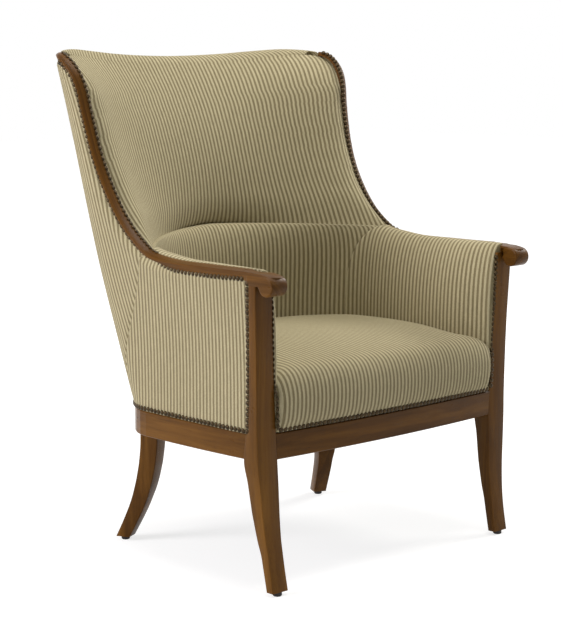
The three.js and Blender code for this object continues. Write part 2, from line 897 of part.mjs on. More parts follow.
function insideBack() {
  const columns = 28;
  const mirror = (place) => (u, v) => {
    const p = place(1 - Math.abs(2 * u - 1), v);
    if (u > 0.5) p.x = -p.x;
    return p;
  };
  const front = grid(12, columns, mirror((share, v) => backFace(share, v, 0)));
  const back = grid(11, columns, mirror((share, v) => backFace(share, v * 11 / 12, backPadThickness)));
  back.push(grid(1, columns, mirror((share) => topHind(share)))[0]);
  // The roll over the top: an arc from the front face to the back face
  const roll = (turn) => mirror((share) => {
    const a = backFace(share, 1, 0);
    const b = topHind(share);
    const middle = a.clone().lerp(b, 1 / 2);
    const reach = a.clone().sub(middle).multiplyScalar(Math.cos(turn * Math.PI));
    return middle.add(reach).add(new THREE.Vector3(0, 0, topRollDepth * Math.sin(turn * Math.PI)));
  });
  for (const turn of [0.17, 0.36]) {
    front.push(grid(1, columns, roll(turn))[0]);
    back.push(grid(1, columns, roll(1 - turn))[0]);
  }
  return slab(front, back);
}

// Seat pad: rings of the seat outline from the underside over the crown

function seatOutline() {
  const points = [];
  const steps = 8;
  for (let i = 0; i < steps; i += 1) points.push({ share: 1 - i / steps / 2, front: 0 });
  for (let i = 0; i < steps; i += 1) points.push({ share: hollowStraight * (1 - i / steps), front: 0 });
  for (let i = 0; i <= 5; i += 1) points.push({ share: 0, front: 1, across: 1 - i / 5 });
  const plan = points.map(({ share, front, across }) => {
    if (front) {
      const half = postInner - softGap;
      const x = half * across;
      return { x, y: seatFrontLine - seatFrontBow * (1 - across ** 2), front: 1 };
    }
    const [x, y] = hollowPlan(share, 0);
    return { x: x - softGap, y, front: smooth((armPadFlareStart - y) / overrun) / 2 };
  });
  const twin = plan.slice(1, -1).reverse().map((p) => ({ ...p, x: -p.x }));
  return [...plan, ...twin];
}

// Rings as side inset and height, then front inset and height, in shares of the seat's rise.
// The first rings shape the lip that hangs over the front rail's rebate.
const lipRings = 4;
const seatRingShares = [
  [0.5, 0, 0.5, 0],
  [0.14, 0, 0.085, 0],
  [0.12, 0.03, 0.085, -0.155],
  [0.1, 0.06, 0, -0.155],
  [0.14, 0.2, -0.04, 0.1],
  [0.12, 0.45, -0.06, 0.42],
  [0.02, 0.72, -0.03, 0.68],
  [0, 0.88, 0.06, 0.83],
  [0.04, 0.97, 0.2, 0.93],
  [0.14, 1.02, 0.42, 0.985],
  [0.4, 1.08, 0.75, 1.03],
  [0.8, 1.12, 1.2, 1.09],
];

function seatPad() {
  const outline = seatOutline();
  const middle = new THREE.Vector3(0, -overrun, 0);
  const rise = seatContact - seatBottom;
  const rings = seatRingShares.map(([sideIn, sideUp, frontIn, frontUp], i) => outline.map((p) => {
    const weight = i < lipRings ? Math.floor(p.front) : p.front;
    const share = p.front === 1 ? frontIn : Math.max(sideIn, frontIn * weight);
    const height = seatBottom + lerp(sideUp, frontUp, weight) * rise;
    const at = new THREE.Vector3(p.x, p.y, 0);
    at.lerp(middle, share * rise / at.distanceTo(middle));
    at.z = height;
    return at;
  }));
  return loft(rings);
}

// Outside covers

function outsideSeamY(z) {
  const share = (armHeight - z) / (armHeight - railShowTop);
  return outsideSeamTop + outsideSeamRun * smooth(share * 1.2);
}

function railBackAt(y) {
  const share = railShareAtY(y);
  return railPoint(share, 1, railDepth(share)).z;
}

function outsideSide(inset, reach = 0) {
  const bottom = railShowTop + softGap;
  return grid(10, 8, (u, v) => {
    const topY = lerp(armFront, outsideSeamTop, u);
    const top = railBackAt(topY) - softGap * 2;
    const z = lerp(bottom, top, v);
    const y = lerp(armFront + softGap, outsideSeamY(z) + reach, u);
    return tubPoint(tubShareAt(y, z), z, inset);
  });
}

// Where the rail's hind edge stands at a height on the wing
function railHindY(z) {
  let low = creaseRailShare / 2;
  let high = 1;
  for (let i = 0; i < 40; i += 1) {
    const middle = (low + high) / 2;
    if (railPoint(middle, 1, railDepth(middle)).z < z) low = middle;
    else high = middle;
  }
  return railPoint(low, 1, railDepth(low)).y;
}

function outsideBack(inset) {
  const bottom = railShowTop + softGap;
  const columns = 32;
  return grid(12, columns, (u, v) => {
    const share = 1 - Math.abs(2 * u - 1);
    const edge = through(topPlaceShares, outsideEdgeShares, share);
    const top = topMiddleZ - topRollDepth + edge * topWingRise;
    const z = lerp(bottom, top, v);
    const front = Math.max(outsideSeamY(Math.min(z, armHeight)), railHindY(Math.max(z, armHeight)));
    const start = tubShareAt(front, z);
    const p = tubPoint(lerp(start, 1, share), z, inset);
    if (u > 0.5) p.x = -p.x;
    return p;
  });
}

// Hidden frame of beech

function tackRing(from, to, steps) {
  const rings = [];
  for (let i = 0; i <= steps; i += 1) {
    const share = lerp(from, to, i / steps);
    const plan = (out) => {
      const [x, y] = hollowPlan(share, out - softGap);
      return [x, y - (share > hollowStraight ? tackRailLean * Math.sin((share - hollowStraight) * Math.PI) : 0)];
    };
    const inner = plan(softGap * 2);
    const outer = plan(tackRailThickness);
    rings.push([
      new THREE.Vector3(...inner, tackRailBottom),
      new THREE.Vector3(...outer, tackRailBottom),
      new THREE.Vector3(...outer, tackRailBottom + tackRailHeight),
      new THREE.Vector3(...inner, tackRailBottom + tackRailHeight),
    ]);
  }
  return loft(rings);
}

// Curved timber just inside the outside cover, between two distances from the middle
function tubTimber(fromX, toX, bottom, top, thickness, columns, rows) {
  const sheet = (inset) => grid(rows, columns, (u, v) => {
    const z = lerp(bottom, top, v);
    const x = lerp(fromX, toX, u);
    const { halfWidth, centre } = tubSize(z);
    const turn = Math.acos(x / halfWidth);
    return new THREE.Vector3(
      (halfWidth - inset) * Math.cos(turn),
      centre + (backRadius - inset) * Math.sin(turn),
      z,
    );
  });
  const outer = coverThickness + frameInset;
  return slab(sheet(outer), sheet(outer + thickness));
}

function upright(grow) {
  return tubTimber(
    uprightX - uprightWidth / 2 - grow,
    uprightX + uprightWidth / 2 + grow,
    railTop + gap - grow,
    crestBottom - gap + grow,
    uprightThickness + grow,
    2,
    10,
  );
}

function leanStrap(from, to, across, width) {
  // Flat strap from one point to another, its width along a given direction
  const along = to.clone().sub(from).normalize();
  const side = across.clone().multiplyScalar(width / 2);
  const up = new THREE.Vector3().crossVectors(along, across).normalize().multiplyScalar(webThickness / 2);
  const ring = (at) => [
    at.clone().add(side).add(up), at.clone().sub(side).add(up),
    at.clone().sub(side).sub(up), at.clone().add(side).sub(up),
  ];
  return loft([ring(from), ring(to)]);
}

function frameRearY(x) {
  return backCentre + (backRadius - railThickness + webOverlap)
    * Math.sqrt(Math.max(0, 1 - (x / (seatHalfWidth - railThickness + webOverlap)) ** 2));
}

function longWeb(x) {
  const z = railTop + gap + webThickness / 2;
  const front = frontRailLine + railThickness - webOverlap;
  return leanStrap(
    new THREE.Vector3(x, front, z),
    new THREE.Vector3(x, frameRearY(Math.abs(x) + webWidth / 2), z),
    new THREE.Vector3(1, 0, 0),
    webWidth,
  );
}

function crossWeb(y) {
  const z = railTop + 2 * gap + webThickness * 3 / 2;
  const half = seatHalfWidth - railThickness - sideTuck + webOverlap;
  return leanStrap(
    new THREE.Vector3(-half, y, z),
    new THREE.Vector3(half, y, z),
    new THREE.Vector3(0, 1, 0),
    webWidth,
  );
}

// Back strap from the hind face of the tack rail to the front face of the crest rail
function backWeb(x) {
  const near = Math.max(0, Math.abs(x) - webWidth / 2);
  const far = Math.abs(x) + webWidth / 2;
  const lift = gap + webThickness / 2;
  const ringOut = tackRailThickness - softGap;
  const turn = Math.acos(near / (seatHollowHalfWidth + ringOut));
  const lowY = seatHollowCentre + (seatHollowDepth + ringOut) * Math.sin(turn)
    - tackRailLean * Math.sin(turn) + lift;
  const highZ = crestBottom + crestHeight / 2;
  const { centre, halfWidth } = tubSize(highZ);
  const inset = coverThickness + frameInset + crestThickness + webThickness + lift;
  const highY = centre + (backRadius - inset) * Math.sqrt(1 - (far / (halfWidth - inset)) ** 2);
  return leanStrap(
    new THREE.Vector3(x, lowY, tackRailBottom + tackRailHeight / 2),
    new THREE.Vector3(x, highY, highZ),
    new THREE.Vector3(1, 0, 0),
    webWidth,
  );
}

function dustCover() {
  const outline = [];
  for (let i = 0; i <= 14; i += 1) {
    const at = frontRailPlace(i / 14);
    outline.push([at.x - at.nx * dustCoverInset, at.y - at.ny * dustCoverInset]);
  }
  const half = [];
  for (let i = 0; i <= 6; i += 1) {
    const at = sideRailPlace(lerp(0.12, 1, i / 6));
    half.push([at.x - at.nx * dustCoverInset, at.y]);
  }
  for (let i = 1; i <= 9; i += 1) {
    const at = backRailPlace(Math.PI / 2 * i / 9);
    half.push([at.x - at.nx * dustCoverInset, at.y - at.ny * dustCoverInset]);
  }
  outline.push(...half, ...half.slice(0, -1).reverse().map(([x, y]) => [-x, y]));
  const top = railBottom - gap;
  return prism(outline, top - dustCoverThickness, top);
}

// Build

const posts = [frontLeg(gap), mirrored(frontLeg(gap))];
const rearPosts = [rearLeg(gap), mirrored(rearLeg(gap))];
const arms = [armRail(softGap, 48), mirrored(armRail(softGap, 48))];
const armPads = [0, softGap].flatMap((grow) => [insideArm(grow), mirrored(insideArm(grow))]);
const rails = [sideRail(gap), mirrored(sideRail(gap)), backRail(gap), frontRail(gap)];

addPair('front_leg', cut(frontLeg(0), [armRail(gap, 48)]), wood);
addPair('arm_rail', armRail(0, 48), wood);
addPair('rear_leg', cut(rearLeg(0), [sideRail(gap), backRail(gap)]), wood);
addPair('seat_rail', cut(sideRail(0), [posts[0]]), wood);
add('seat_rail_front', cut(frontRail(0), posts), wood);
add('seat_rail_back', backRail(0), wood);
addPair('front_corner_block', cut(frontBlock(), [...rails, posts[0]]), beech);
addPair('rear_corner_block', cut(rearBlock(), [...rails, rearPosts[0]]), beech);
for (let i = 0; i < 4; i += 1) {
  const x = i % 2 ? 1 : -1;
  const name = `glide_${i < 2 ? 'front' : 'rear'}_${x > 0 ? 'left' : 'right'}`;
  const place = i < 2
    ? [(postInner - footInnerDraw + postOuter - footOuterDraw) / 2, postFront - footKick + footDepth / 2]
    : [rearLegX + rearKickX, rearLegY + rearKickY];
  add(name, footGlide(x * place[0], place[1]), glide);
}

addPair('back_upright', upright(0), beech);
add('crest_rail', tubTimber(-crestReach, crestReach, crestBottom, crestBottom + crestHeight, crestThickness, 20, 2), beech);
const uprights = [upright(gap), mirrored(upright(gap))];
addPair('arm_tack_rail', cut(tackRing(0.05, 0.7, 12), [posts[0], uprights[0]]), beech);
add('back_tack_rail', cut(tackRing(0.7, 1.3, 12), uprights), beech);
addPair('inside_arm', cut(insideArm(0), [posts[0], arms[0]]), fabric);
add('lumbar_pad', cut(lumbarPad(), [...armPads, ...arms, ...uprights]), fabric);
const padsBelow = [...armPads, lumbarPad(), lumbarPad().translate(0, 0, softGap)];
add('inside_back', cut(insideBack(), [...arms, ...padsBelow]), fabric);
add('seat_pad', cut(seatPad(), [...posts, frontRail(softGap), insideArm(gap), mirrored(insideArm(gap))]), fabric);
addPair('outside_side', cut(slab(outsideSide(0), outsideSide(coverThickness)), [arms[0]]), fabric);
const sideTool = slab(
  outsideSide(-coverThickness, softGap),
  outsideSide(coverThickness * 2, softGap),
);
add('outside_back', cut(
  slab(outsideBack(0), outsideBack(coverThickness)),
  [...arms, sideTool, mirrored(sideTool)],
), fabric);
for (let i = 0; i < webCountLong; i += 1) {
  const spread = (2 * i - webCountLong + 1) / (webCountLong - 1);
  add(`seat_web_long_${i + 1}`, longWeb(spread * (seatHollowHalfWidth - webWidth)), webbing);
}
[-1, 0, 1].forEach((place, i) => {
  add(`back_web_${i + 1}`, backWeb(place * (uprightX - uprightWidth - webWidth)), webbing);
});
for (let i = 0; i < webCountAcross; i += 1) {
  const y = lerp(frontRailLine + railThickness + webWidth, backCentre + webWidth / 2, i / (webCountAcross - 1));
  add(`seat_web_cross_${i + 1}`, crossWeb(y), webbing);
}
add('dust_cover', cut(dustCover(), [...posts, ...rearPosts]), lining);

// The origin stands on the floor under the middle of the whole chair
const middle = new THREE.Box3().setFromObject(chair).getCenter(new THREE.Vector3());
chair.children.forEach((mesh) => mesh.geometry.translate(-middle.x, -middle.y, 0));

export default chair;
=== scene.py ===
import math
import bpy
import bmesh
import numpy as np
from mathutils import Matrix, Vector


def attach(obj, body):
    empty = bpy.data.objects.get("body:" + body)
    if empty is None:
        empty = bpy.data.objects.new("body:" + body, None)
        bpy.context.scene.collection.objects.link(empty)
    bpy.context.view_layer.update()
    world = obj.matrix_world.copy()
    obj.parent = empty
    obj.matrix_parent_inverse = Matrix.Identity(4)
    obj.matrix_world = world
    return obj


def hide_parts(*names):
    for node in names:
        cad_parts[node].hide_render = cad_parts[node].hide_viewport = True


# The fireside chair, dressed over its solids. The shape functions work in millimetres in the
# solids' own layout, with the sitter's left on +X, and to_metres moves them into the frame.

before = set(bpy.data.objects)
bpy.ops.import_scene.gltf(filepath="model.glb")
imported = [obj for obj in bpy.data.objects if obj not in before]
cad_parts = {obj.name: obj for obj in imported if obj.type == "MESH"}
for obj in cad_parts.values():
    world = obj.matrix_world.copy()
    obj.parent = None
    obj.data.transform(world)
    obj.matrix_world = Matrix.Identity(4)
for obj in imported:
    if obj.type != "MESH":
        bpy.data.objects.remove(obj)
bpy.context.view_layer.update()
scene = bpy.context.scene
rng = np.random.default_rng(18)

LAYOUT_SHIFT = np.array([0.0, -29.33, 0.0])
METRES_PER_MM = 0.001


def to_metres(points):
    return (np.asarray(points, float) + LAYOUT_SHIFT) * METRES_PER_MM


# Camera at the photograph's viewing angle

CAMERA_PLACE = (-2.564, -2.7494, 1.0318)
CAMERA_DOWN, CAMERA_TURN = 8.28, 43.14

camera_data = bpy.data.cameras.new("camera")
camera_data.lens = 103.92
camera_data.sensor_width = 36
camera_data.clip_end = 60
camera = bpy.data.objects.new("camera", camera_data)
camera.location = CAMERA_PLACE
camera.rotation_euler = (math.radians(90 - CAMERA_DOWN), 0, math.radians(-CAMERA_TURN))
scene.collection.objects.link(camera)
scene.camera = camera

# Sizes shared with the solids, in millimetres

FRAME_BOTTOM, SHOW_TOP, POST_TOP, TUB_TOP = 260.0, 311.0, 607.0, 1005.0
SEAT_HALF, TUB_TOP_HALF = 361.0, 397.0
BACK_RADIUS, BACK_CENTRE, TUB_TOP_CENTRE = 180.0, 30.0, 233.0
SIDE_DRAW, SIDE_DRAW_POWER = 4.0, 2.5
FRONT_LINE, FRONT_BOW = -301.0, 13.0
POST_OUTER, POST_INNER, POST_FRONT, POST_DEPTH = 359.0, 307.3, -301.5, 40.0
POST_INNER_DRAW, POST_OUTER_DRAW, POST_TOP_KICK, POST_BEHIND = 16.0, 10.0, 4.5, 6.0
ARM_HEIGHT, ARM_X = 624.5, 357.5
ARM_FRONT = POST_FRONT + POST_DEPTH - POST_BEHIND
ARM_WIDTH, ARM_DEPTH, ARM_TILT = 24.5, 20.5, math.radians(9)
WING_WIDTH, WING_DEPTH, WING_TILT = 20.5, 11.0, math.radians(26)
WING_START, WING_RUN, WING_RISE, WING_FLARE = -40.0, 325.0, 400.0, 28.0
HOLLOW_HALF, HOLLOW_CENTRE, HOLLOW_DEPTH = 281.0, 40.0, 165.0
PAD_BOTTOM, PAD_FRONT, PAD_FLARE, PAD_FLARE_START = 388.0, -292.0, 26.0, -190.0
CREASE_Z, CREASE_Y, CREASE_END = 651.0, 240.0, 24.0
BACK_TOP_Y, BACK_TOP_Z = 361.0, 1000.0
COVER_GAP = 0.6
FOOT_HEIGHT = 8.3

# Shares of those sizes: the wing's run, rise and flare, the tub's heights, half width and centre,
# and the post's heights, inner side, outer side and front

WING_SHARES = [
    (0, 0, 0), (.1785, .019, -.06), (.247, .049, -.054), (.367, .121, -.03), (.464, .204, .02),
    (.543, .296, .064), (.608, .391, .15), (.66, .494, .28), (.697, .599, .4),
    (.7285, .706, .546), (.754, .814, .707), (.789, .884, .85), (.85, .944, .97),
    (.915, .98, .98), (.96, .994, .85), (1, 1, .6),
]
TUB_HEIGHT_SHARES = [0, .183, .431, .849, 1]
TUB_HALF_SHARES = [0, .056, .278, .639, 1]
TUB_CENTRE_SHARES = [0, .239, .517, .9, 1]
POST_HEIGHT_SHARES = [0, .148, .55, .88, 1]
POST_INNER_SHARES = [0, .17, .66, .97, 1]
POST_OUTER_SHARES = [0, .08, .35, .82, 1]
POST_KICK_SHARES = [0, -.2, .05, .7, 1]


def lerp(a, b, t):
    return a + (b - a) * t


def smooth(t):
    t = np.clip(t, 0, 1)
    return t * t * (3 - 2 * t)


def hump(distance, reach):
    """Rises from 0 to 1 at the reach, then dies out."""
    t = distance / reach
    return t * np.exp(1 - t)


def rounding(t):
    """How far a quarter circle has fallen at a share of its radius."""
    return 1 - np.sqrt(np.maximum(0, 1 - t * t))


def through(places, values, at):
    """Smooth interpolation through a short table of places and values."""
    places = np.asarray(places, float)
    values = np.asarray(values, float)
    at = np.asarray(at, float)
    last = len(places) - 1
    after = np.minimum(np.arange(last + 1) + 1, last)
    before = np.maximum(np.arange(last + 1) - 1, 0)
    slopes = (values[after] - values[before]) / (places[after] - places[before])
    i = np.clip(np.searchsorted(places, at, side="left") - 1, 0, last - 1)
    span = places[i + 1] - places[i]
    t = np.clip((at - places[i]) / span, 0, 1)
    t2, t3 = t * t, t ** 3
    return (values[i] * (2 * t3 - 3 * t2 + 1) + slopes[i] * span * (t3 - 2 * t2 + t)
            + values[i + 1] * (3 * t2 - 2 * t3) + slopes[i + 1] * span * (t3 - t2))


def unit(v):
    return v / np.maximum(np.linalg.norm(v, axis=-1, keepdims=True), 1e-9)


def stack(x, y, z):
    x, y, z = np.broadcast_arrays(x, y, z)
    return np.stack([x, y, z], -1).astype(float)


def columns_at(at, places, table):
    """Linear interpolation of each column of a table."""
    return np.stack([np.interp(at, places, table[:, k]) for k in range(table.shape[1])], -1)


def running_length(points):
    return np.concatenate([[0], np.cumsum(np.linalg.norm(np.diff(points, axis=0), axis=1))])


def mirrored(points):
    return np.asarray(points) * np.array([-1.0, 1, 1])


# Arm and wing rail: one path with its cross-section's directions

CURVE_STEPS = 80
PATH_SAMPLES, SMOOTHING = 1601, 15
ARM_DIP = 0.8


def catmull(points):
    p = np.asarray(points, float)
    out = []
    for i in range(len(p) - 1):
        b, c = p[i], p[i + 1]
        a = p[i - 1] if i else 2 * p[0] - p[1]
        d = p[i + 2] if i + 2 < len(p) else 2 * p[-1] - p[-2]
        d0, d1, d2 = [max(np.dot(v - u, v - u) ** 0.25, 1e-6) for u, v in ((a, b), (b, c), (c, d))]
        t1 = ((b - a) / d0 - (c - a) / (d0 + d1) + (c - b) / d1) * d1
        t2 = ((c - b) / d1 - (d - b) / (d1 + d2) + (d - c) / d2) * d1
        t = np.linspace(0, 1, CURVE_STEPS, endpoint=False)[:, None]
        out.append(b + t1 * t + (3 * (c - b) - 2 * t1 - t2) * t * t + (2 * (b - c) + t1 + t2) * t ** 3)
    out.append(p[-1:])
    return np.vstack(out)


def to_wing(share):
    """0 along the arm and 1 along the wing."""
    return smooth((share - .22) / .13)


rail_path = catmull(
    [(ARM_X, ARM_FRONT, ARM_HEIGHT), (ARM_X, (ARM_FRONT + WING_START) / 2, ARM_HEIGHT - ARM_DIP)]
    + [(ARM_X + flare * WING_FLARE, WING_START + run * WING_RUN, ARM_HEIGHT + rise * WING_RISE)
       for run, rise, flare in WING_SHARES])
path_run = running_length(rail_path)
RAIL_LENGTH = path_run[-1]
SHARES = np.linspace(0, 1, PATH_SAMPLES)
rough_place = columns_at(SHARES * RAIL_LENGTH, path_run, rail_path)
kernel = np.ones(SMOOTHING) / SMOOTHING
beyond = SMOOTHING // 2
padded_place = np.pad(rough_place, ((beyond, beyond), (0, 0)), mode="reflect", reflect_type="odd")
rail_place = np.stack([np.convolve(column, kernel, "valid") for column in padded_place.T], -1)
rail_along = unit(np.gradient(rail_place, axis=0))
rail_turn = lerp(ARM_TILT, WING_TILT, to_wing(SHARES))
side_way = unit(np.array([1.0, 0, 0]) - rail_along * rail_along[:, :1])
rail_across = unit(side_way * np.cos(rail_turn)[:, None]
                   + np.cross(rail_along, side_way) * np.sin(rail_turn)[:, None])
rail_deep = np.cross(rail_along, rail_across)


def at_share(table, share):
    return columns_at(np.asarray(share, float), SHARES, table)


def rail_frame(share):
    """The rail's place, and the ways across it and down through it."""
    return [at_share(table, share) for table in (rail_place, rail_across, rail_deep)]


def rail_width(share):
    return lerp(ARM_WIDTH, WING_WIDTH, to_wing(share)) * lerp(1, .7, smooth((share - .93) / .07))


def rail_depth(share):
    return lerp(ARM_DEPTH, WING_DEPTH, to_wing(share))


def rail_point(share, across, deep):
    """A point on the rail's section: across is -1 to 1 from its inner to its outer side."""
    share = np.asarray(share, float)
    place, across_way, deep_way = rail_frame(share)
    return (place + across_way * (across * rail_width(share) / 2)[..., None]
            + deep_way * (np.zeros_like(share) + deep)[..., None])


def rail_share_at_y(y):
    return np.interp(y, rail_place[:, 1], SHARES)


def nearest_share(points):
    gap = np.linalg.norm(points[:, None] - rail_place[None, ::4], axis=2)
    return SHARES[::4][gap.argmin(axis=1)]


CREASE_SHARE = float(rail_share_at_y(CREASE_END))
WING_TIP_SHARE = .97

# Outside shape of the tub

STRAIGHT_SHARE = .45
SEAM_TOP_Y, SEAM_RUN = 36.0, 66.0
REBATE_FRONT, REBATE_LEAN = -275.5, 11.0


def quarter_turn(share, start):
    """The angle of a plan that is straight up to a share and then turns a quarter circle."""
    return np.clip((share - start) / (1 - start), 0, 1) * np.pi / 2


def tub_size(z):
    at = (z - SHOW_TOP) / (TUB_TOP - SHOW_TOP)
    half = lerp(SEAT_HALF, TUB_TOP_HALF, through(TUB_HEIGHT_SHARES, TUB_HALF_SHARES, at))
    centre = lerp(BACK_CENTRE, TUB_TOP_CENTRE, through(TUB_HEIGHT_SHARES, TUB_CENTRE_SHARES, at))
    return half, centre


def tub_point(share, z, inset):
    half, centre = tub_size(z)
    straight = share <= STRAIGHT_SHARE
    t = np.clip(share / STRAIGHT_SHARE, 0, 1)
    angle = quarter_turn(share, STRAIGHT_SHARE)
    draw = SIDE_DRAW * (1 - t) ** SIDE_DRAW_POWER
    x = np.where(straight, half - draw - inset, (half - inset) * np.cos(angle))
    y = np.where(straight, lerp(ARM_FRONT, centre, t), centre + (BACK_RADIUS - inset) * np.sin(angle))
    return stack(x, y, z)


def tub_share_at(y, z):
    centre = tub_size(z)[1]
    angle = np.arcsin(np.clip((y - centre) / BACK_RADIUS, 0, 1))
    return np.where(y <= centre, STRAIGHT_SHARE * (y - ARM_FRONT) / (centre - ARM_FRONT),
                    lerp(STRAIGHT_SHARE, 1, angle / (np.pi / 2)))


def outside_seam_y(z):
    share = (ARM_HEIGHT - z) / (ARM_HEIGHT - SHOW_TOP)
    return SEAM_TOP_Y + SEAM_RUN * smooth(share * 1.2)


def cover_front_y(z):
    """Front edge of the side cover, on a rebate in the post's outer face."""
    return REBATE_FRONT - REBATE_LEAN * (z - SHOW_TOP) / (POST_TOP - SHOW_TOP)


def post_draw(z, shares):
    return np.interp((z - FRAME_BOTTOM) / (POST_TOP - FRAME_BOTTOM), POST_HEIGHT_SHARES, shares)


def post_inner_x(z):
    return POST_INNER + POST_INNER_DRAW * post_draw(z, POST_INNER_SHARES)


def post_outer_x(z):
    return POST_OUTER + POST_OUTER_DRAW * post_draw(z, POST_OUTER_SHARES)


def post_front_y(z):
    return POST_FRONT - POST_TOP_KICK * post_draw(z, POST_KICK_SHARES)


# Inside shape: arms, lumbar pad and back

HOLLOW_POWER = 2.2
BELLY = 2.2
TOP_EDGE_RISE = 12
EDGE_SHARES = [0, .2, .38, .55, .7, .85, 1]
INNER_EDGE_SHARES = [-1.4, -.55, .13, .25, .15, .06, 0]
OUTER_EDGE_SHARES = [-.2, .7, 1, .7, .35, .1, 0]


def hollow_plan(share, out):
    straight = share <= .5
    y = lerp(PAD_FRONT, HOLLOW_CENTRE, np.clip(share / .5, 0, 1))
    flare = np.clip((PAD_FLARE_START - y) / (PAD_FLARE_START - PAD_FRONT), 0, 1)
    angle = quarter_turn(share, .5)
    x = np.where(straight, HOLLOW_HALF + PAD_FLARE * flare ** 2 + out, (HOLLOW_HALF + out) * np.cos(angle))
    return x, np.where(straight, y, HOLLOW_CENTRE + (HOLLOW_DEPTH + out) * np.sin(angle))


def crease_point(angle, deep):
    end = rail_point(CREASE_SHARE, -1, 0)
    sx, sy = np.cos(angle), np.sin(angle) ** HOLLOW_POWER
    return stack((end[0] - COVER_GAP) * sx, lerp(end[1], CREASE_Y, sy),
                 lerp(CREASE_Z, end[2] - COVER_GAP, sx) - deep)


def upper_line(share, deep):
    """The pads' top edge: along the rail, then along the crease."""
    y = lerp(PAD_FRONT, CREASE_END, np.clip(share / .5, 0, 1))
    rail = rail_point(rail_share_at_y(np.maximum(y, ARM_FRONT)), -1, deep)
    rail = stack(rail[..., 0] - COVER_GAP, y, rail[..., 2])
    return np.where((share < .5)[..., None], rail, crease_point(quarter_turn(share, .5), deep))


def lower_inside(share, height, out, deep):
    """The inside arms' and lumbar pad's face, from the seat up to the rail or the crease."""
    x, y = hollow_plan(share, out)
    top = upper_line(share, deep)
    angle = height * np.pi / 2
    lean = 1 - np.maximum(0, np.cos(angle)) ** (2 / 3)
    rise = np.sin(angle) ** (2 / 3)
    return stack(lerp(x, top[..., 0], lean), lerp(y, top[..., 1], lean),
                 lerp(PAD_BOTTOM, top[..., 2], rise))


def seam_share(height):
    """Where the lumbar pad meets the inside arm."""
    return lerp(.5, 1, lerp(.21, .12, smooth(height) ** 2))


def back_face(share, height, deep, belly=1.0):
    """The inside back's face, from the rail at share 0 to the middle at share 1."""
    rail_share = lerp(CREASE_SHARE, 1, height * WING_TIP_SHARE)
    place, across_way, deep_way = rail_frame(rail_share)
    side = (place - across_way * (rail_width(rail_share) / 2 + COVER_GAP)[..., None]
            + deep_way * (np.zeros_like(share) + deep)[..., None])
    angle = share * np.pi / 2
    sx = np.cos(angle)
    sy = np.sin(angle) ** lerp(HOLLOW_POWER, 1.27, height ** .5)
    middle_z = lerp(CREASE_Z + COVER_GAP, BACK_TOP_Z, height)
    middle_y = lerp(CREASE_Y, BACK_TOP_Y, height ** belly) + deep
    lift = through(EDGE_SHARES, INNER_EDGE_SHARES, share) * TOP_EDGE_RISE * smooth((height - .5) * 2)
    return stack(side[..., 0] * sx, lerp(side[..., 1], middle_y, sy),
                 lerp(side[..., 2], middle_z, lerp(1 - sx, sy, height ** .5)) + lift)


def top_hind(share, inset):
    """The line behind the top where the roll comes down."""
    z = back_face(share, np.ones_like(share), 0)[..., 2]
    half, centre = tub_size(z)
    angle = lerp(.21, 1, share) * np.pi / 2
    return stack((half - inset) * np.cos(angle), centre + (BACK_RADIUS - inset) * np.sin(angle), z)


def top_roll(share, turn, height=17, inset=4.6):
    """The roll leaves the face along the face's own slope, then comes down upright behind."""
    start = back_face(share, np.ones_like(share), 0)
    middle = (start + top_hind(share, inset)) / 2
    rise = start - back_face(share, np.full_like(share, .985), 0, BELLY)
    slope = np.clip(rise[..., :2] / np.maximum(rise[..., 2:], .3), -.8, .8)
    slope = slope * (1 - smooth(turn / .9))[..., None]
    lift = height * np.sin(turn * np.pi)
    return (middle + (start - middle) * np.cos(turn * np.pi)[..., None]
            + stack(slope[..., 0] * lift, slope[..., 1] * lift, lift))


# Mesh helpers

def outward_normals(front, back):
    normals = unit(np.cross(np.gradient(front, axis=1), np.gradient(front, axis=0)))
    inward = np.sum(normals * unit(front - back), -1) < 0
    return np.where(inward[..., None], -normals, normals)


def arc_across(grid):
    steps = np.linalg.norm(np.diff(grid, axis=1), axis=2)
    return np.concatenate([np.zeros((len(grid), 1)), np.cumsum(steps, axis=1)], axis=1)


def arc_along(grid):
    return arc_across(grid.swapaxes(0, 1)).T


def from_ends(grid):
    """Distance from the nearer side end of a sheet."""
    across = arc_across(grid)
    return np.minimum(across, across[:, -1:] - across)


def roll_edges(front, out, **edges):
    """Rounds a padded sheet down at the named edges, each given as its reach and depth."""
    along, across = arc_along(front), arc_across(front)
    near = {"bottom": along, "top": along[-1:] - along, "start": across, "end": across[:, -1:] - across}
    drop = np.zeros(front.shape[:2])
    for name, (reach, depth) in edges.items():
        drop = drop + depth * rounding(np.clip(1 - near[name] / reach, 0, 1))
    return front - out * drop[..., None]


def shade_smooth(obj, angle):
    for poly in obj.data.polygons:
        poly.use_smooth = True
    obj.data.set_sharp_from_angle(angle=math.radians(angle))


def finish_piece(obj, material, smooth_angle, replaces=()):
    scene.collection.objects.link(obj)
    obj.data.materials.append(material)
    shade_smooth(obj, smooth_angle)
    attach(obj, "root")
    if replaces:
        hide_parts(*replaces)
    return obj


def mesh_object(name, points, faces, uv=None):
    mesh = bpy.data.meshes.new(name)
    mesh.from_pydata([tuple(p) for p in to_metres(points)], [], [tuple(int(i) for i in f) for f in faces])
    mesh.update()
    if uv is not None:
        layer = mesh.uv_layers.new(name="cloth")
        index = np.empty(len(mesh.loops), int)
        mesh.loops.foreach_get("vertex_index", index)
        layer.data.foreach_set("uv", (np.asarray(uv, float)[index] * METRES_PER_MM).ravel())
    bm = bmesh.new()
    bm.from_mesh(mesh)
    bmesh.ops.recalc_face_normals(bm, faces=bm.faces)
    if bm.calc_volume(signed=True) < 0:
        bmesh.ops.reverse_faces(bm, faces=bm.faces)
    bm.to_mesh(mesh)
    bm.free()
    return bpy.data.objects.new(name, mesh)


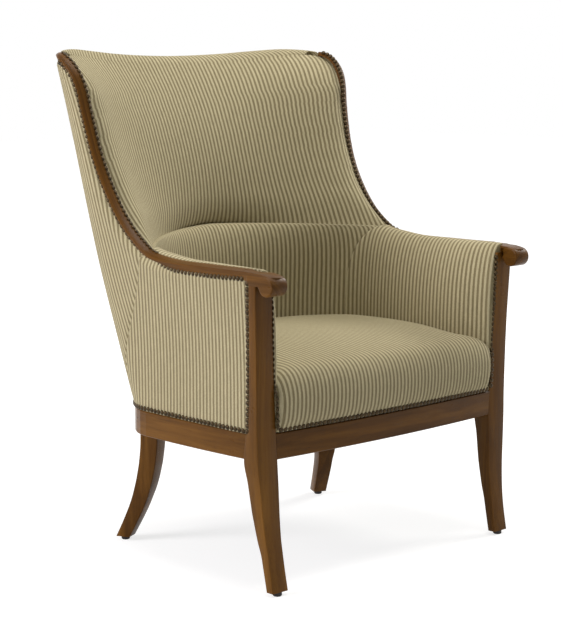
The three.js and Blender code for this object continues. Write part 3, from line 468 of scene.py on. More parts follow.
def slab_mesh(name, front, back, uv):
    """A closed body between two sheets of points; both sheets take the front's cloth places."""
    rows, columns = front.shape[:2]
    count = rows * columns
    index = np.arange(count).reshape(rows, columns)
    cells = np.stack([index[:-1, :-1], index[:-1, 1:], index[1:, 1:], index[1:, :-1]], -1).reshape(-1, 4)
    faces = [tuple(f) for f in cells] + [tuple(f[::-1] + count) for f in cells]
    edge = np.concatenate([index[0, :], index[1:, -1], index[-1, -2::-1], index[-2:0:-1, 0]])
    for p, q in zip(edge, np.roll(edge, -1)):
        faces.append((q, p, p + count, q + count))
    points = np.concatenate([front.reshape(-1, 3), back.reshape(-1, 3)])
    return mesh_object(name, points, faces, np.concatenate([uv.reshape(-1, 2)] * 2))


# Materials

class Nodes:
    """Short calls that make the nodes of one tree."""

    def __init__(self, tree):
        self.tree = tree
        self.tree.nodes.clear()

    def put(self, socket, value):
        if isinstance(value, bpy.types.NodeSocket):
            self.tree.links.new(value, socket)
        elif isinstance(value, tuple) and len(value) == 3 and socket.type == "RGBA":
            socket.default_value = (*value, 1)
        else:
            socket.default_value = value

    def node(self, kind, inputs=None, **settings):
        node = self.tree.nodes.new("ShaderNode" + kind)
        for key, value in settings.items():
            setattr(node, key, value)
        for key, value in (inputs or {}).items():
            self.put(node.inputs[key], value)
        return node

    def math(self, operation, a, b=0.0):
        return self.node("Math", {0: a, 1: b}, operation=operation).outputs[0]

    def plus(self, a, b):
        return self.math("ADD", a, b)

    def times(self, a, b):
        return self.math("MULTIPLY", a, b)

    def largest(self, a, b, c):
        return self.math("MAXIMUM", self.math("MAXIMUM", a, b), c)

    def sine(self, value, rate):
        return self.math("SINE", self.times(value, rate))

    def centred(self, value, amount):
        """A value from 0 to 1 becomes one to both sides of 0."""
        return self.times(self.math("SUBTRACT", value, .5), amount)

    def mix(self, share, a, b, kind="MIX"):
        node = self.node("Mix", {0: share, 6: a, 7: b}, data_type="RGBA", blend_type=kind)
        return node.outputs[2]

    def ramp(self, share, stops):
        node = self.node("ValToRGB", {0: share})
        elements = node.color_ramp.elements
        while len(elements) < len(stops):
            elements.new(.5)
        for element, (place, colour) in zip(elements, stops):
            element.position = place
            element.color = (*colour, 1)
        return node.outputs[0]

    def noise(self, vector, scale, detail=3, rough=.5, distortion=0.0):
        return self.node("TexNoise", {"Vector": vector, "Scale": scale, "Detail": detail,
                                      "Roughness": rough, "Distortion": distortion}).outputs[0]

    def mapping(self, vector, scale, location=(0, 0, 0)):
        return self.node("Mapping", {"Vector": vector, "Scale": scale, "Location": location}).outputs[0]

    def remap(self, value, a, b, c=0.0, d=1.0, kind="LINEAR"):
        return self.node("MapRange", {"Value": value, "From Min": a, "From Max": b, "To Min": c,
                                      "To Max": d}, interpolation_type=kind).outputs[0]

    def bump(self, height, distance, strength):
        return self.node("Bump", {"Height": height, "Distance": distance, "Strength": strength}).outputs[0]

    def space(self):
        return self.node("TexCoord").outputs["Object"]

    def cloth_places(self):
        return self.node("UVMap", uv_map="cloth").outputs[0]

    def parts(self, vector):
        return self.node("SeparateXYZ", {0: vector}).outputs

    def join(self, x, y, z=0.0):
        return self.node("CombineXYZ", {0: x, 1: y, 2: z}).outputs[0]


class Shader(Nodes):
    """One material with a principled surface."""

    NAMES = {"colour": "Base Color", "rough": "Roughness", "metal": "Metallic", "normal": "Normal",
             "sheen": "Sheen Weight", "sheen_rough": "Sheen Roughness", "sheen_tint": "Sheen Tint",
             "coat": "Coat Weight", "coat_rough": "Coat Roughness", "specular": "Specular IOR Level"}

    def __init__(self, name):
        self.material = bpy.data.materials.new(name)
        self.material.use_nodes = True
        super().__init__(self.material.node_tree)
        self.out = self.node("OutputMaterial")
        self.surface = self.node("BsdfPrincipled")
        self.put(self.out.inputs[0], self.surface.outputs[0])

    def set(self, **values):
        for key, value in values.items():
            self.put(self.surface.inputs[self.NAMES[key]], value)
        return self.material


def srgb(text):
    parts = [int(text[i:i + 2], 16) / 255 for i in (1, 3, 5)]
    return tuple(c / 12.92 if c <= .04045 else ((c + .055) / 1.055) ** 2.4 for c in parts)


# Pitches of the cloth in metres: stripe, warp cord, weft pick and rib

STRIPE, CORD, PICK, RIB = .0103, .00103, .00135, .0026
CLOTH_COLOURS = ["#C6BB99", "#B1A684", "#938765", "#786D52"]
WALNUT = {"colours": ("#2A1806", "#57370F", "#7C5420"), "rough": (.26, .4), "coat": .02}
BEECH = {"colours": ("#A98457", "#C8A573", "#DCC091"), "rough": (.55, .75), "coat": 0.0}
JUTE_RATE, LINING_RATE = 2200, 3600


def striped_cloth():
    """Narrow corded stripes with a fine rib, on the piece's own cloth places in metres."""
    s = Shader("striped_fabric")
    light, light_low, dark, dark_low = [srgb(text) for text in CLOTH_COLOURS]
    space = s.space()
    x, y = s.parts(s.cloth_places())[:2]
    across = s.plus(x, s.centred(s.noise(space, 7, 2), .0022))
    cycle = s.math("PINGPONG", s.math("DIVIDE", across, STRIPE), .5)
    fuzz_place = s.join(s.times(x, 900), s.times(y, 260))
    fuzz = s.noise(fuzz_place, 1, 2, .6)
    stripe = s.remap(s.plus(cycle, s.centred(fuzz, .15)), .19, .31, kind="SMOOTHSTEP")
    # Single threads: warp cords along the stripe, weft picks across it
    weave = s.times(s.sine(across, math.tau / CORD), s.sine(y, math.tau / PICK))
    yarn = s.noise(s.join(s.times(x, 700), s.times(y, 45)), 1, 3, .65)
    soil = s.remap(s.noise(space, 3.2, 3), .3, .7)
    jitter = s.times(s.noise(fuzz_place, .12, 2), .004)
    rib = s.sine(s.plus(y, jitter), math.tau / RIB)
    colour = s.mix(stripe, s.mix(yarn, dark_low, dark), s.mix(yarn, light_low, light))
    colour = s.mix(s.times(soil, .12), colour, dark, "MULTIPLY")
    shade = s.times(s.remap(weave, -1, 1, .88, 1.07), s.remap(rib, -1, 1, .955, 1.03))
    shade = s.times(shade, s.remap(yarn, .3, .75, .9, 1.07))
    colour = s.mix(1.0, colour, s.join(shade, shade, shade), "MULTIPLY")
    cord = s.sine(s.remap(cycle, .05, .5), math.pi / 2)
    height = s.plus(s.times(cord, .65), s.times(weave, .11))
    height = s.plus(height, s.times(fuzz, .4))
    height = s.plus(height, s.times(rib, .12))
    return s.set(colour=colour, rough=s.remap(yarn, .2, .8, .84, .97), normal=s.bump(height, .0011, .75),
                 sheen=.16, sheen_rough=.5, sheen_tint=(.95, .9, .74), specular=.18)


def wood(name, grain_scale, kind, seed=0.0, on_places=False):
    """Figured hardwood; grain_scale is small along the grain."""
    s = Shader(name)
    dark, mid, light = [srgb(text) for text in kind["colours"]]
    base = s.cloth_places() if on_places else s.space()
    place = s.mapping(base, grain_scale, (seed, seed * .7, seed * 1.3))
    sway = s.noise(s.mapping(base, tuple(c * .25 for c in grain_scale), (seed, seed, 0)), 6, 2)
    bands = s.noise(place, 34, 5, .62, .35)
    broad = s.noise(place, 9, 3, .5, .9)
    fibre = s.noise(s.mapping(base, tuple(c * 6 if c > .5 else c for c in grain_scale)), 110, 3, .7)
    tone = s.plus(s.times(bands, .5), s.times(broad, .5))
    tone = s.plus(tone, s.centred(sway, .3))
    colour = s.ramp(tone, [(.28, dark), (.48, mid), (.66, light)])
    pores = s.remap(fibre, .56, .7)
    colour = s.mix(s.times(pores, .45), colour, dark)
    patina = s.remap(s.noise(base, 5.5, 3), .35, .75)
    colour = s.mix(s.times(patina, .22), colour, dark)
    height = s.math("SUBTRACT", s.times(bands, .35), s.times(pores, .5))
    return s.set(colour=colour, rough=s.remap(s.noise(base, 14, 4), .3, .7, *kind["rough"]),
                 normal=s.bump(height, .00045, .5), coat=kind["coat"], coat_rough=.25, specular=.09)


def bronze():
    s = Shader("nail_bronze")
    space = s.space()
    spots = s.noise(space, 140, 3, .6)
    worn = s.remap(s.noise(space, 420, 2), .45, .7)
    colour = s.mix(spots, srgb("#1A140C"), srgb("#423420"))
    colour = s.mix(s.times(worn, .3), colour, srgb("#75603F"))
    return s.set(colour=colour, metal=.85, rough=s.remap(spots, .3, .7, .3, .5),
                 normal=s.bump(spots, .0003, .3))


def jute():
    s = Shader("webbing")
    space = s.space()
    x, y, z = s.parts(space)
    weave = s.times(s.sine(s.plus(x, s.times(z, .3)), JUTE_RATE), s.sine(s.plus(y, z), JUTE_RATE))
    hair = s.noise(space, 900, 3, .7)
    stripe = s.math("PINGPONG", s.times(x, 20), .5)
    colour = s.mix(s.remap(weave, -1, 1), srgb("#7A6238"), srgb("#A88E5C"))
    colour = s.mix(s.times(hair, .4), colour, srgb("#C2AA78"))
    colour = s.mix(s.remap(stripe, .46, .48, 0, .25), colour, srgb("#5A3A22"))
    height = s.plus(s.times(weave, .6), s.times(hair, .5))
    return s.set(colour=colour, rough=s.remap(hair, .3, .7, .85, 1), normal=s.bump(height, .0008, .7),
                 sheen=.1, specular=.15)


def lining():
    s = Shader("lining")
    space = s.space()
    x, y = s.parts(space)[:2]
    weave = s.times(s.sine(x, LINING_RATE), s.sine(y, LINING_RATE))
    lint = s.noise(space, 300, 4, .7)
    colour = s.mix(s.remap(lint, .4, .75), srgb("#1B1A19"), srgb("#35322F"))
    return s.set(colour=colour, rough=s.remap(lint, .3, .7, .85, 1),
                 normal=s.bump(s.plus(weave, lint), .0004, .6), specular=.15)


def moulded():
    s = Shader("glide")
    space = s.space()
    grain = s.noise(space, 700, 3, .6)
    scuff = s.noise(s.mapping(space, (1, 1, 4)), 60, 4, .7)
    colour = s.mix(s.remap(scuff, .45, .7), srgb("#1D1816"), srgb("#3B332E"))
    return s.set(colour=colour, rough=s.remap(scuff, .3, .7, .45, .7),
                 normal=s.bump(grain, .0002, .5), specular=.35)


CLOTH = striped_cloth()
WOOD_UP = wood("wood_upright", (1, 1, .07), WALNUT)
WOOD_ALONG = wood("wood_side", (1, .07, 1), WALNUT, 3.1)
WOOD_ACROSS = wood("wood_front", (.07, 1, 1), WALNUT, 5.3)
WOOD_CURVE = wood("wood_arm", (.07, 1, 1), WALNUT, 1.7, on_places=True)
BEECH_UP = wood("beech_upright", (1, 1, .06), BEECH)
BEECH_ALONG = wood("beech_side", (1, .06, 1), BEECH, 2.2)
BEECH_ACROSS = wood("beech_cross", (.06, 1, 1), BEECH, 4.4)
BRONZE = bronze()
JUTE = jute()
LINING = lining()
MOULDED = moulded()

# A solid takes the material of the first word that its name holds

NODE_MATERIALS = [
    ("seat_rail_front", WOOD_ACROSS), ("seat_rail_back", WOOD_ACROSS), ("seat_rail", WOOD_ALONG),
    ("leg", WOOD_UP), ("arm_rail", WOOD_UP), ("upright", BEECH_UP), ("arm_tack", BEECH_ALONG),
    ("corner_block", BEECH_ACROSS), ("crest", BEECH_ACROSS), ("tack", BEECH_ACROSS),
    ("web", JUTE), ("glide", MOULDED), ("dust", LINING), ("", CLOTH),
]

for name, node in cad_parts.items():
    node.data.materials.clear()
    node.data.materials.append(next(material for word, material in NODE_MATERIALS if word in name))
    shade_smooth(node, 28)


# Covers

def cloth_places(across, front):
    """Cloth places in millimetres: across the stripes, then along them."""
    return np.stack([across, arc_along(front)], -1)


def from_middle(front, blend=0.0):
    """Distance from a sheet's middle column; blend evens out the widths of its rows."""
    across = arc_across(front)
    half = (front.shape[1] - 1) // 2
    across = across - across[:, half:half + 1]
    width = across[:, -1:]
    return across * lerp(1.0, width.mean() / width, blend)


def uv_grid(columns, rows):
    return np.meshgrid(np.linspace(0, 1, columns + 1), np.linspace(0, 1, rows + 1))


def sides(u):
    """Share from the rail to the middle on both sides, and the side's sign."""
    return 1 - np.abs(2 * u - 1), stack(np.where(u > .5, -1.0, 1.0), 1, 1)


# Inside back, with the roll over its top

BACK_COLUMNS, BACK_ROWS, BACK_ROLL_ROWS = 176, 96, 26
BACK_THICK, BACK_HIND_INSET = 21, 9.0
FILLING, FILLING_REACH = 21, 48
EDGE_ON_RAIL, EDGE_REACH = 4.6, 26
FOOT_TUCK, FOOT_TUCK_REACH = 15, 62
FLANGE_DEEP, FLANGE_WIDTH, FLANGE_THICK = 3.5, 5, 3


def inside_back_cover():
    u, v = uv_grid(BACK_COLUMNS, BACK_ROWS)
    u_roll, v_roll = [grid[1:] for grid in uv_grid(BACK_COLUMNS, BACK_ROLL_ROWS)]
    share, sign = sides(np.concatenate([u, u_roll]))
    rows = len(u)
    front = np.concatenate([back_face(share[:rows], v, 0, BELLY), top_roll(share[rows:], v_roll * .98)])
    rise = np.linspace(0, 1, len(front))[:, None] + 0 * share
    inner = back_face(share, np.clip(rise / .86, 0, 1) * 11 / 12, BACK_THICK)
    back = lerp(inner, top_hind(share, BACK_HIND_INSET), smooth((rise - .8) / .2)[..., None]) * sign
    front = front * sign
    normals = outward_normals(front, back)
    front = roll_edges(front, normals, start=(6, 1.6), end=(6, 1.6))
    # A full roll of filling stands up beside the rail and dies out towards the middle
    beside = from_ends(front)
    full = np.concatenate([lerp(.4, 1, smooth(v / .2)) * (1 - .65 * smooth((v - .72) / .28)),
                           .35 * (1 - smooth(v_roll / .6))])
    front = front + normals * (FILLING * full * hump(beside, FILLING_REACH))[..., None]
    # Its edge lies on the rail's inner side, under the nails
    held = np.concatenate([1 + 0 * v, 1 - smooth(v_roll / .3)]) * (1 - smooth(beside / EDGE_REACH))
    height = np.concatenate([v, 1 + 0 * v_roll])
    ends = at_share(rail_deep, lerp(CREASE_SHARE, 1, WING_TIP_SHARE * height))
    front = front + ends * sign * (EDGE_ON_RAIL * held)[..., None]
    # The foot of the pad tucks back behind the lumbar pad, less so towards the wings
    near = np.clip(1 - arc_along(front) / FOOT_TUCK_REACH, 0, 1)
    tuck = FOOT_TUCK * smooth(share * 2.6) * lerp(near ** 2, rounding(near), .45)
    front = front - normals * tuck[..., None]
    # A flange tucked under the rail closes the nailed edge up to the wing's tip
    rail_shares = np.linspace(CREASE_SHARE, 1, 600)
    edge = front[:, 0]
    gap = np.linalg.norm(edge[:, None] - rail_point(rail_shares, -1, 1.5)[None], axis=2)
    beside_rail = rail_shares[np.maximum.accumulate(gap.argmin(axis=1))]
    over = smooth((np.concatenate([np.zeros(rows), v_roll[:, 0]]) - .02) / .2)[:, None]
    under = rail_point(beside_rail, -1, FLANGE_DEEP) + at_share(rail_across, beside_rail) * FLANGE_WIDTH
    aside = np.array([.5, 0, 0])
    flange = lerp(under, edge + aside, over)
    flange_back = lerp(under + at_share(rail_deep, beside_rail) * FLANGE_THICK, back[:, 0] + aside, over)
    front = np.concatenate([flange[:, None], front, mirrored(flange)[:, None]], axis=1)
    back = np.concatenate([flange_back[:, None], back, mirrored(flange_back)[:, None]], axis=1)
    places = cloth_places(from_middle(front, .8), front)
    places[rows:, :, 0] = places[rows - 1, :, 0]
    return slab_mesh("inside_back_cover", front, back, places)


# Lumbar pad: the reach and lift of each row of its rolled top

LUMBAR_THICK, LUMBAR_SWELL = 26, 5.0
LUMBAR_ROLL = [(3, .6), (7, .4), (11, -1.2), (15, -4), (18, -8.5)]
PAD_OUT = 12


def lumbar_cover():
    u, v = uv_grid(150, 60)
    mid, sign = sides(u)
    share = lerp(seam_share(v) - COVER_GAP / BACK_RADIUS, 1, mid)
    front = lower_inside(share, v, 0, 0)
    back = lower_inside(share, v, PAD_OUT, LUMBAR_THICK)
    # The pad swells under its top edge, which rolls back into the crease
    angle = quarter_turn(share[-1], .5)
    away = unit(stack(np.cos(angle) / HOLLOW_HALF, np.sin(angle) / HOLLOW_DEPTH, 0))
    swell = LUMBAR_SWELL * np.sin(np.pi * v) ** 2 * smooth(mid * 3)
    front = front - away[None] * swell[..., None]
    roll = [front[-1] + away * reach + np.array([0, 0, lift]) for reach, lift in LUMBAR_ROLL]
    roll_back = [back[-1] + away * (k + 1) for k in range(len(roll))]
    sign = np.concatenate([sign, sign[:len(roll)]])
    front = np.concatenate([front, np.array(roll)]) * sign
    back = np.concatenate([back, np.array(roll_back)]) * sign
    front = roll_edges(front, outward_normals(front, back), start=(9, 2.4), end=(9, 2.4))
    return slab_mesh("lumbar_cover", front, back, cloth_places(from_middle(front), front))


# Inside arms

ARM_PAD_THICK, ARM_PAD_DRAW = 24, 9
ARM_CREST, ARM_CREST_REACH = 2, 17
ARM_SWELL, ARM_SWELL_REACH = 6, 34


def inside_arm_cover():
    u, v = uv_grid(110, 64)
    share = u * (seam_share(v) - COVER_GAP / 2 / BACK_RADIUS)
    front = lower_inside(share, v, 0, 0)
    back = lower_inside(share, v, PAD_OUT, ARM_PAD_THICK)
    normals = outward_normals(front, back)
    # Full filling: a crest that stands above the rail's inner edge
    y = front[..., 1]
    down = arc_along(front)[-1:] - arc_along(front)
    crest = ARM_CREST * smooth((y - PAD_FRONT) / 190) * smooth((34 - y) / 90)
    swell = ARM_SWELL * smooth((y + 130) / 150)
    front = front + stack(0, 0, crest * hump(down, ARM_CREST_REACH))
    front = front + normals * (swell * hump(down, ARM_SWELL_REACH))[..., None]
    # Its front end is drawn forward to the post's corner, where it is nailed
    for sheet in (front, back):
        sheet[..., 1] -= ARM_PAD_DRAW * (1 - smooth((sheet[..., 1] - PAD_FRONT) / 40))
    front = roll_edges(front, normals, start=(7, 3.5), end=(9, 2.4))
    return front, back, cloth_places(arc_across(front), front)


# Seat: its front profile as distance behind the front line and height, then back over the crown

SEAT_PROFILE = np.array([
    (10, 311.8), (5.2, 312.2), (4.2, 316), (1.6, 323), (-2.4, 333), (-5.4, 350), (-6.6, 370), (-5.2, 389),
    (-1, 405), (7, 419), (21, 429.6), (44.5, 435.8), (79.5, 441), (127, 446.5), (190, 449.8), (260, 450.5),
    (340, 448.5), (410, 444), (470, 439), (508, 431)])
SEAT_STRAIGHT_Y, SEAT_FADE = -311.0, 330
SEAT_FALL, SEAT_FALL_FRONT = 16, 30
SEAT_REACH, SEAT_REACH_FRONT = 85, 64
SEAT_UNDER, SEAT_FLAP_TOP = 333.0, 345


def seat_cover():
    u, v = uv_grid(130, 110)
    s = 2 * u - 1
    steps = running_length(SEAT_PROFILE)
    behind, height = [through(steps, column, v * steps[-1]) for column in SEAT_PROFILE.T]
    front_line = FRONT_LINE - 3 - FRONT_BOW * (1 - (s * .93) ** 2)
    y = lerp(front_line, SEAT_STRAIGHT_Y, np.clip(behind / SEAT_FADE, 0, 1)) + behind
    # Half width: between the posts in front, then between the inside arms
    arm_x, arm_y = hollow_plan(np.linspace(0, .5, 60), 0)
    angle = np.arcsin(np.clip((y - HOLLOW_CENTRE) / HOLLOW_DEPTH, 0, .985))
    between_arms = np.where(y < HOLLOW_CENTRE, np.interp(y, arm_y, arm_x), HOLLOW_HALF * np.cos(angle)) + 1.5
    between_posts = post_inner_x(height) - .2
    half = lerp(between_posts, between_arms, smooth((behind - 4) / 60))
    half = np.where(behind < 2, np.minimum(half, between_posts), half)
    edge = (1 - np.abs(s)) * half
    ends = smooth(1 - edge / 15) * smooth((14 - behind) / 8)
    y = lerp(y, np.maximum(y, POST_FRONT + 2.6), ends)
    x = s * half
    # The crown falls to the sides, most at the front corners
    fall = lerp(SEAT_FALL_FRONT, SEAT_FALL, smooth((y + 300) / 190))
    reach = lerp(SEAT_REACH_FRONT, SEAT_REACH, smooth((y + 300) / 200))
    drop = fall * rounding(np.clip(1 - edge / reach, 0, 1))
    z = height - drop * smooth((height - 330) / 80)
    front = stack(x, y, z)
    flap = z < SEAT_FLAP_TOP
    back_y = np.where(flap, y + 9, np.maximum(y + 6, PAD_FRONT))
    back = stack(x * .96, back_y, np.where(flap, z - .5, SEAT_UNDER))
    return slab_mesh("seat_cover", front, back, cloth_places(x, front))


# Outside covers, tight over the frame

OUTSIDE_THICK, OUTSIDE_HOLLOW, OUTSIDE_LEAN = 2.6, 1.6, 1.05
OUTSIDE_TOP = 999
DRAW_REACH, DRAW_TOP = 20, 1012


def outside_side_cover():
    u, v = uv_grid(84, 64)
    share = rail_share_at_y(lerp(cover_front_y(POST_TOP), SEAM_TOP_Y, u))
    side_line = rail_point(share, 1, rail_depth(share) - 8)
    top = side_line[..., 2]
    z = lerp(SHOW_TOP + COVER_GAP, top, v)
    y = lerp(cover_front_y(z), outside_seam_y(z), u)
    pull = smooth(1 - (top - z) / 16)
    # A slight hollow of the tight panel between its nailed edges
    hollow = OUTSIDE_HOLLOW * np.sin(np.pi * u) * np.sin(np.pi * v)
    front, back = [tub_point(tub_share_at(y, z), z, inset) for inset in (0, OUTSIDE_THICK)]
    for sheet, proud in ((front, .4), (back, -2)):
        sheet[..., 1] = np.minimum(sheet[..., 1], np.maximum(y, ARM_FRONT - 30))
        sheet[..., 0] = lerp(sheet[..., 0], side_line[..., 0] + proud, pull)
    outward = stack(1.0 + 0 * u, 0, 0)
    front = roll_edges(front, outward, end=(4, 1.6), top=(4, 1.2), start=(3, 1.0), bottom=(3, 1.0))
    front[..., 0] -= hollow
    back[..., 0] -= hollow
    return front, back, np.stack([front[..., 1] * OUTSIDE_LEAN, front[..., 2]], -1)


def rail_hind_y(z):
    shares = np.linspace(CREASE_SHARE / 2, 1, 600)
    hind = rail_point(shares, 1, rail_depth(shares))
    return np.interp(z, np.maximum.accumulate(hind[:, 2]), hind[:, 1])


def outside_back_cover():
    u, v = uv_grid(170, 96)
    share, sign = sides(u)
    top = OUTSIDE_TOP + through(EDGE_SHARES, OUTER_EDGE_SHARES, share) * TOP_EDGE_RISE
    z = lerp(SHOW_TOP + COVER_GAP, top, v)
    seam_y = outside_seam_y(np.minimum(z, ARM_HEIGHT))
    start_y = np.maximum(seam_y, rail_hind_y(np.maximum(z, ARM_HEIGHT)) - 7)
    along = lerp(tub_share_at(start_y, z), 1, share)
    front = tub_point(along, z, -.4)
    back = tub_point(along, z, OUTSIDE_THICK)
    # Above the arm the cover is drawn in to the rail's outer side, where it is nailed
    rail_shares = np.linspace(CREASE_SHARE / 2, 1, 900)
    side_line = rail_point(rail_shares, 1, 2.5) + at_share(rail_across, rail_shares) * .3
    drawn = columns_at(z[:, 0], np.maximum.accumulate(side_line[:, 2]), side_line)[:, None]
    drawn[..., 2] = z[:, :1]
    pull = (1 - smooth(from_ends(front) / DRAW_REACH)) * smooth((z - ARM_HEIGHT + 6) / 14)
    pull = (pull * smooth((DRAW_TOP - z) / 10))[..., None]
    front = lerp(front, drawn, pull) * sign
    back = lerp(back, drawn - stack(2.4, 0, 0), pull) * sign
    front = roll_edges(front, unit(front - back), start=(4, 1.6), end=(4, 1.6), top=(4, 1.6), bottom=(3, 1.0))
    return slab_mesh("outside_back_cover", front, back, cloth_places(from_middle(front), front))


def sided(name, sheets, side):
    """One of a left and right pair, from the left one's sheets and cloth places."""
    front, back, places = sheets
    if side < 0:
        front, back = mirrored(front), mirrored(back)
    return slab_mesh(name, front, back, places)


def show(obj, replaces):
    finish_piece(obj, CLOTH, 60, replaces)
    return obj


SIDES = ((1, "left"), (-1, "right"))

show(inside_back_cover(), ["inside_back"])
show(lumbar_cover(), ["lumbar_pad"])
show(seat_cover(), ["seat_pad"])
for side, word in SIDES:
    show(sided("inside_arm_cover_" + word, inside_arm_cover(), side), ["inside_arm_" + word])
for side, word in SIDES:
    panel = show(sided("outside_side_cover_" + word, outside_side_cover(), side), ["outside_side_" + word])
panel = show(outside_back_cover(), ["outside_back"])


# Nails: the rings of a domed head, as a share of its radius and a height in millimetres

NAIL_RADIUS, NAIL_PITCH, NAIL_SEGMENTS = 5.3, 10.8, 12
NAIL_RINGS = [(1.0, -.7), (1.0, .15), (.93, .75), (.74, 1.75), (.45, 2.5), (.18, 2.82)]
NAIL_FOOT, NAIL_TOP = -.7, 2.9
RAIL_NAIL_Z, RAIL_NAIL_PROUD = 317.0, .6
INNER_ROW_START, INNER_ROW_END = (345.2, 8.5, 632.0), .985
OUTER_ROW = np.array([
    (397, 260, 1010), (397, 248, 1002), (395, 231, 987), (393, 220, 970), (389, 213, 951),
    (386, 208, 930), (384, 204, 908), (382, 199.5, 886), (380, 194, 865), (378.7, 189, 845),
    (376.7, 183, 824), (375.5, 176, 806), (373.5, 167, 786), (371.6, 157, 767), (371, 146, 747),
    (371, 134, 729), (370.6, 121, 711), (370.6, 108, 694), (370.3, 91, 677), (370.8, 73, 662),
    (371.6, 53, 648), (371.6, 34, 637), (372, 12, 626), (371, -14, 614.5), (371, -32, 609),
    (371, -50, 606), (371, -78, 604), (371, -123, 603.8), (371, -181, 604.4), (371, -239, 606.3),
    (371, -262, 607.2), (371, -276, 607.6)], float)


def tube_faces(rings, count, base=0):
    """Faces between rings of points that follow each other."""
    faces = []
    for r in range(rings - 1):
        for k in range(count):
            a, b = base + r * count + k, base + r * count + (k + 1) % count
            faces.append((a, b, b + count, a + count))
    return faces


def fan_faces(first, count, tip):
    return [(first + k, first + (k + 1) % count, tip) for k in range(count)]


def spaced(points, normals):
    """Nail places at one pitch along a line, with their directions."""
    run = running_length(points)
    at = np.linspace(0, run[-1], int(round(run[-1] / NAIL_PITCH)) + 1)
    return columns_at(at, run, points), unit(columns_at(at, run, normals))


def nail_row(name, points, normals):
    points_made, faces = [], []
    for p, n in zip(*spaced(points, normals)):
        n = unit(n + rng.normal(0, .045, 3))
        a = unit(np.cross(n, [0.03, .11, 1.0]))
        b = np.cross(n, a)
        p = p + a * rng.normal(0, .18) + b * rng.normal(0, .18)
        size = NAIL_RADIUS * (1 + rng.normal(0, .012))
        base = len(points_made)
        for reach, height in NAIL_RINGS:
            for t in np.arange(NAIL_SEGMENTS) / NAIL_SEGMENTS * math.tau:
                points_made.append(p + (a * math.cos(t) + b * math.sin(t)) * reach * size + n * height)
        tip = len(points_made)
        points_made += [p + n * NAIL_FOOT, p + n * NAIL_TOP]
        faces += tube_faces(len(NAIL_RINGS), NAIL_SEGMENTS, base)
        faces += fan_faces(base, NAIL_SEGMENTS, tip) + fan_faces(tip - NAIL_SEGMENTS, NAIL_SEGMENTS, tip + 1)
    return finish_piece(mesh_object(name, points_made, faces), BRONZE, 50)


def both_rows(name, points, normals):
    nail_row(name + "_left", points, normals)
    nail_row(name + "_right", mirrored(points), mirrored(normals))


def front_rail_nails():
    x = np.linspace(-299, 299, 80)
    y = FRONT_LINE - RAIL_NAIL_PROUD - FRONT_BOW * (1 - (x / POST_INNER) ** 2)
    slope = 2 * FRONT_BOW * x / POST_INNER ** 2
    nail_row("nails_front_rail", stack(x, y, RAIL_NAIL_Z), stack(slope, -1, -.12))


def back_rail_nails():
    share = np.linspace(.012, 1, 120)
    line = tub_point(share, RAIL_NAIL_Z + 0 * share, 0)
    line = np.concatenate([line[:1] - [(0, 10.0, 0), (0, 5.0, 0)], line])
    tangent = np.gradient(line, axis=0)
    outward = unit(stack(tangent[:, 1], -tangent[:, 0], 0))
    row, row_out = [np.concatenate([half, mirrored(half[::-1])[1:]]) for half in (line, outward)]
    nail_row("nails_back_rail", row, row_out)


def post_nails():
    z = np.linspace(328, 601, 60)
    line = tub_point(np.zeros(60), z, -.3)
    line[:, 1] = cover_front_y(z) + 5.2
    both_rows("nails_post_outer", line, stack(1, 0, 0 * z))
    # At its foot the inner row turns to the post's front
    z = np.linspace(597, 324, 70)
    low = 1 - smooth((z - 375) / 45)
    line = stack(post_inner_x(z) - lerp(.8, 1.6, low), lerp(post_front_y(z) + 3.2, -304.6, low), z)
    both_rows("nails_post_inner", line, stack(lerp(-1, -.4, low), lerp(-.15, -1, low), 0))


def arm_nails():
    """The inner row sits on the rail's inner corner, the outer row on its outer side."""
    start = nearest_share(np.array([INNER_ROW_START]))[0]
    share = np.linspace(start, INNER_ROW_END, 200)
    wing = smooth((share - CREASE_SHARE + .06) / .1)
    place, across, deep = rail_frame(share)
    line = rail_point(share, -1, lerp(1.2, 1.5, wing)) - across * .7
    both_rows("nails_arm_inner", line, unit(-lerp(.9, .75, wing)[:, None] * deep - across))
    share = np.minimum(nearest_share(OUTER_ROW), .955 + np.linspace(.003, 0, len(OUTER_ROW)))
    wing = smooth((share - .3) / .12)
    place, across, deep = rail_frame(share)
    below = np.sum((OUTER_ROW - place) * deep, -1)
    line = rail_point(share, 1, lerp(np.clip(below, 12, 19.5), 5.4, wing)) + across * .3
    both_rows("nails_arm_outer", line, unit(across - (.38 * wing)[:, None] * deep))


front_rail_nails()
back_rail_nails()
post_nails()
arm_nails()


# Show-wood pieces with finer shapes than their solids

def rounded_section(half_a, half_b, radius, steps=3):
    points = []
    for cx, cy, start in ((1, 1, 0), (-1, 1, 90), (-1, -1, 180), (1, -1, 270)):
        for i in range(steps + 1):
            t = math.radians(start + 90 * i / steps)
            points.append((cx * (half_a - radius) + radius * math.cos(t),
                           cy * (half_b - radius) + radius * math.sin(t)))
    return np.array(points)


def level_ring(x_low, x_high, y_low, y_high, z, radius):
    section = rounded_section((x_high - x_low) / 2, (y_high - y_low) / 2, radius)
    middle = [(x_low + x_high) / 2, (y_low + y_high) / 2]
    return np.column_stack([section + middle, np.full(len(section), z)])


def loft(rings):
    """A closed body through rings of equal counts."""
    rings = np.asarray(rings, float)
    count = rings.shape[1]
    first = tuple(range(count))
    last = tuple((len(rings) - 1) * count + i for i in range(count))
    return rings.reshape(-1, 3), tube_faces(len(rings), count) + [first[::-1], last]


def joined(parts):
    points, faces, base = [], [], 0
    for p, f in parts:
        points.append(p)
        faces += [tuple(i + base for i in face) for face in f]
        base += len(p)
    return np.concatenate(points), faces


# Front leg below the post, as shares of the frame's height and of each draw

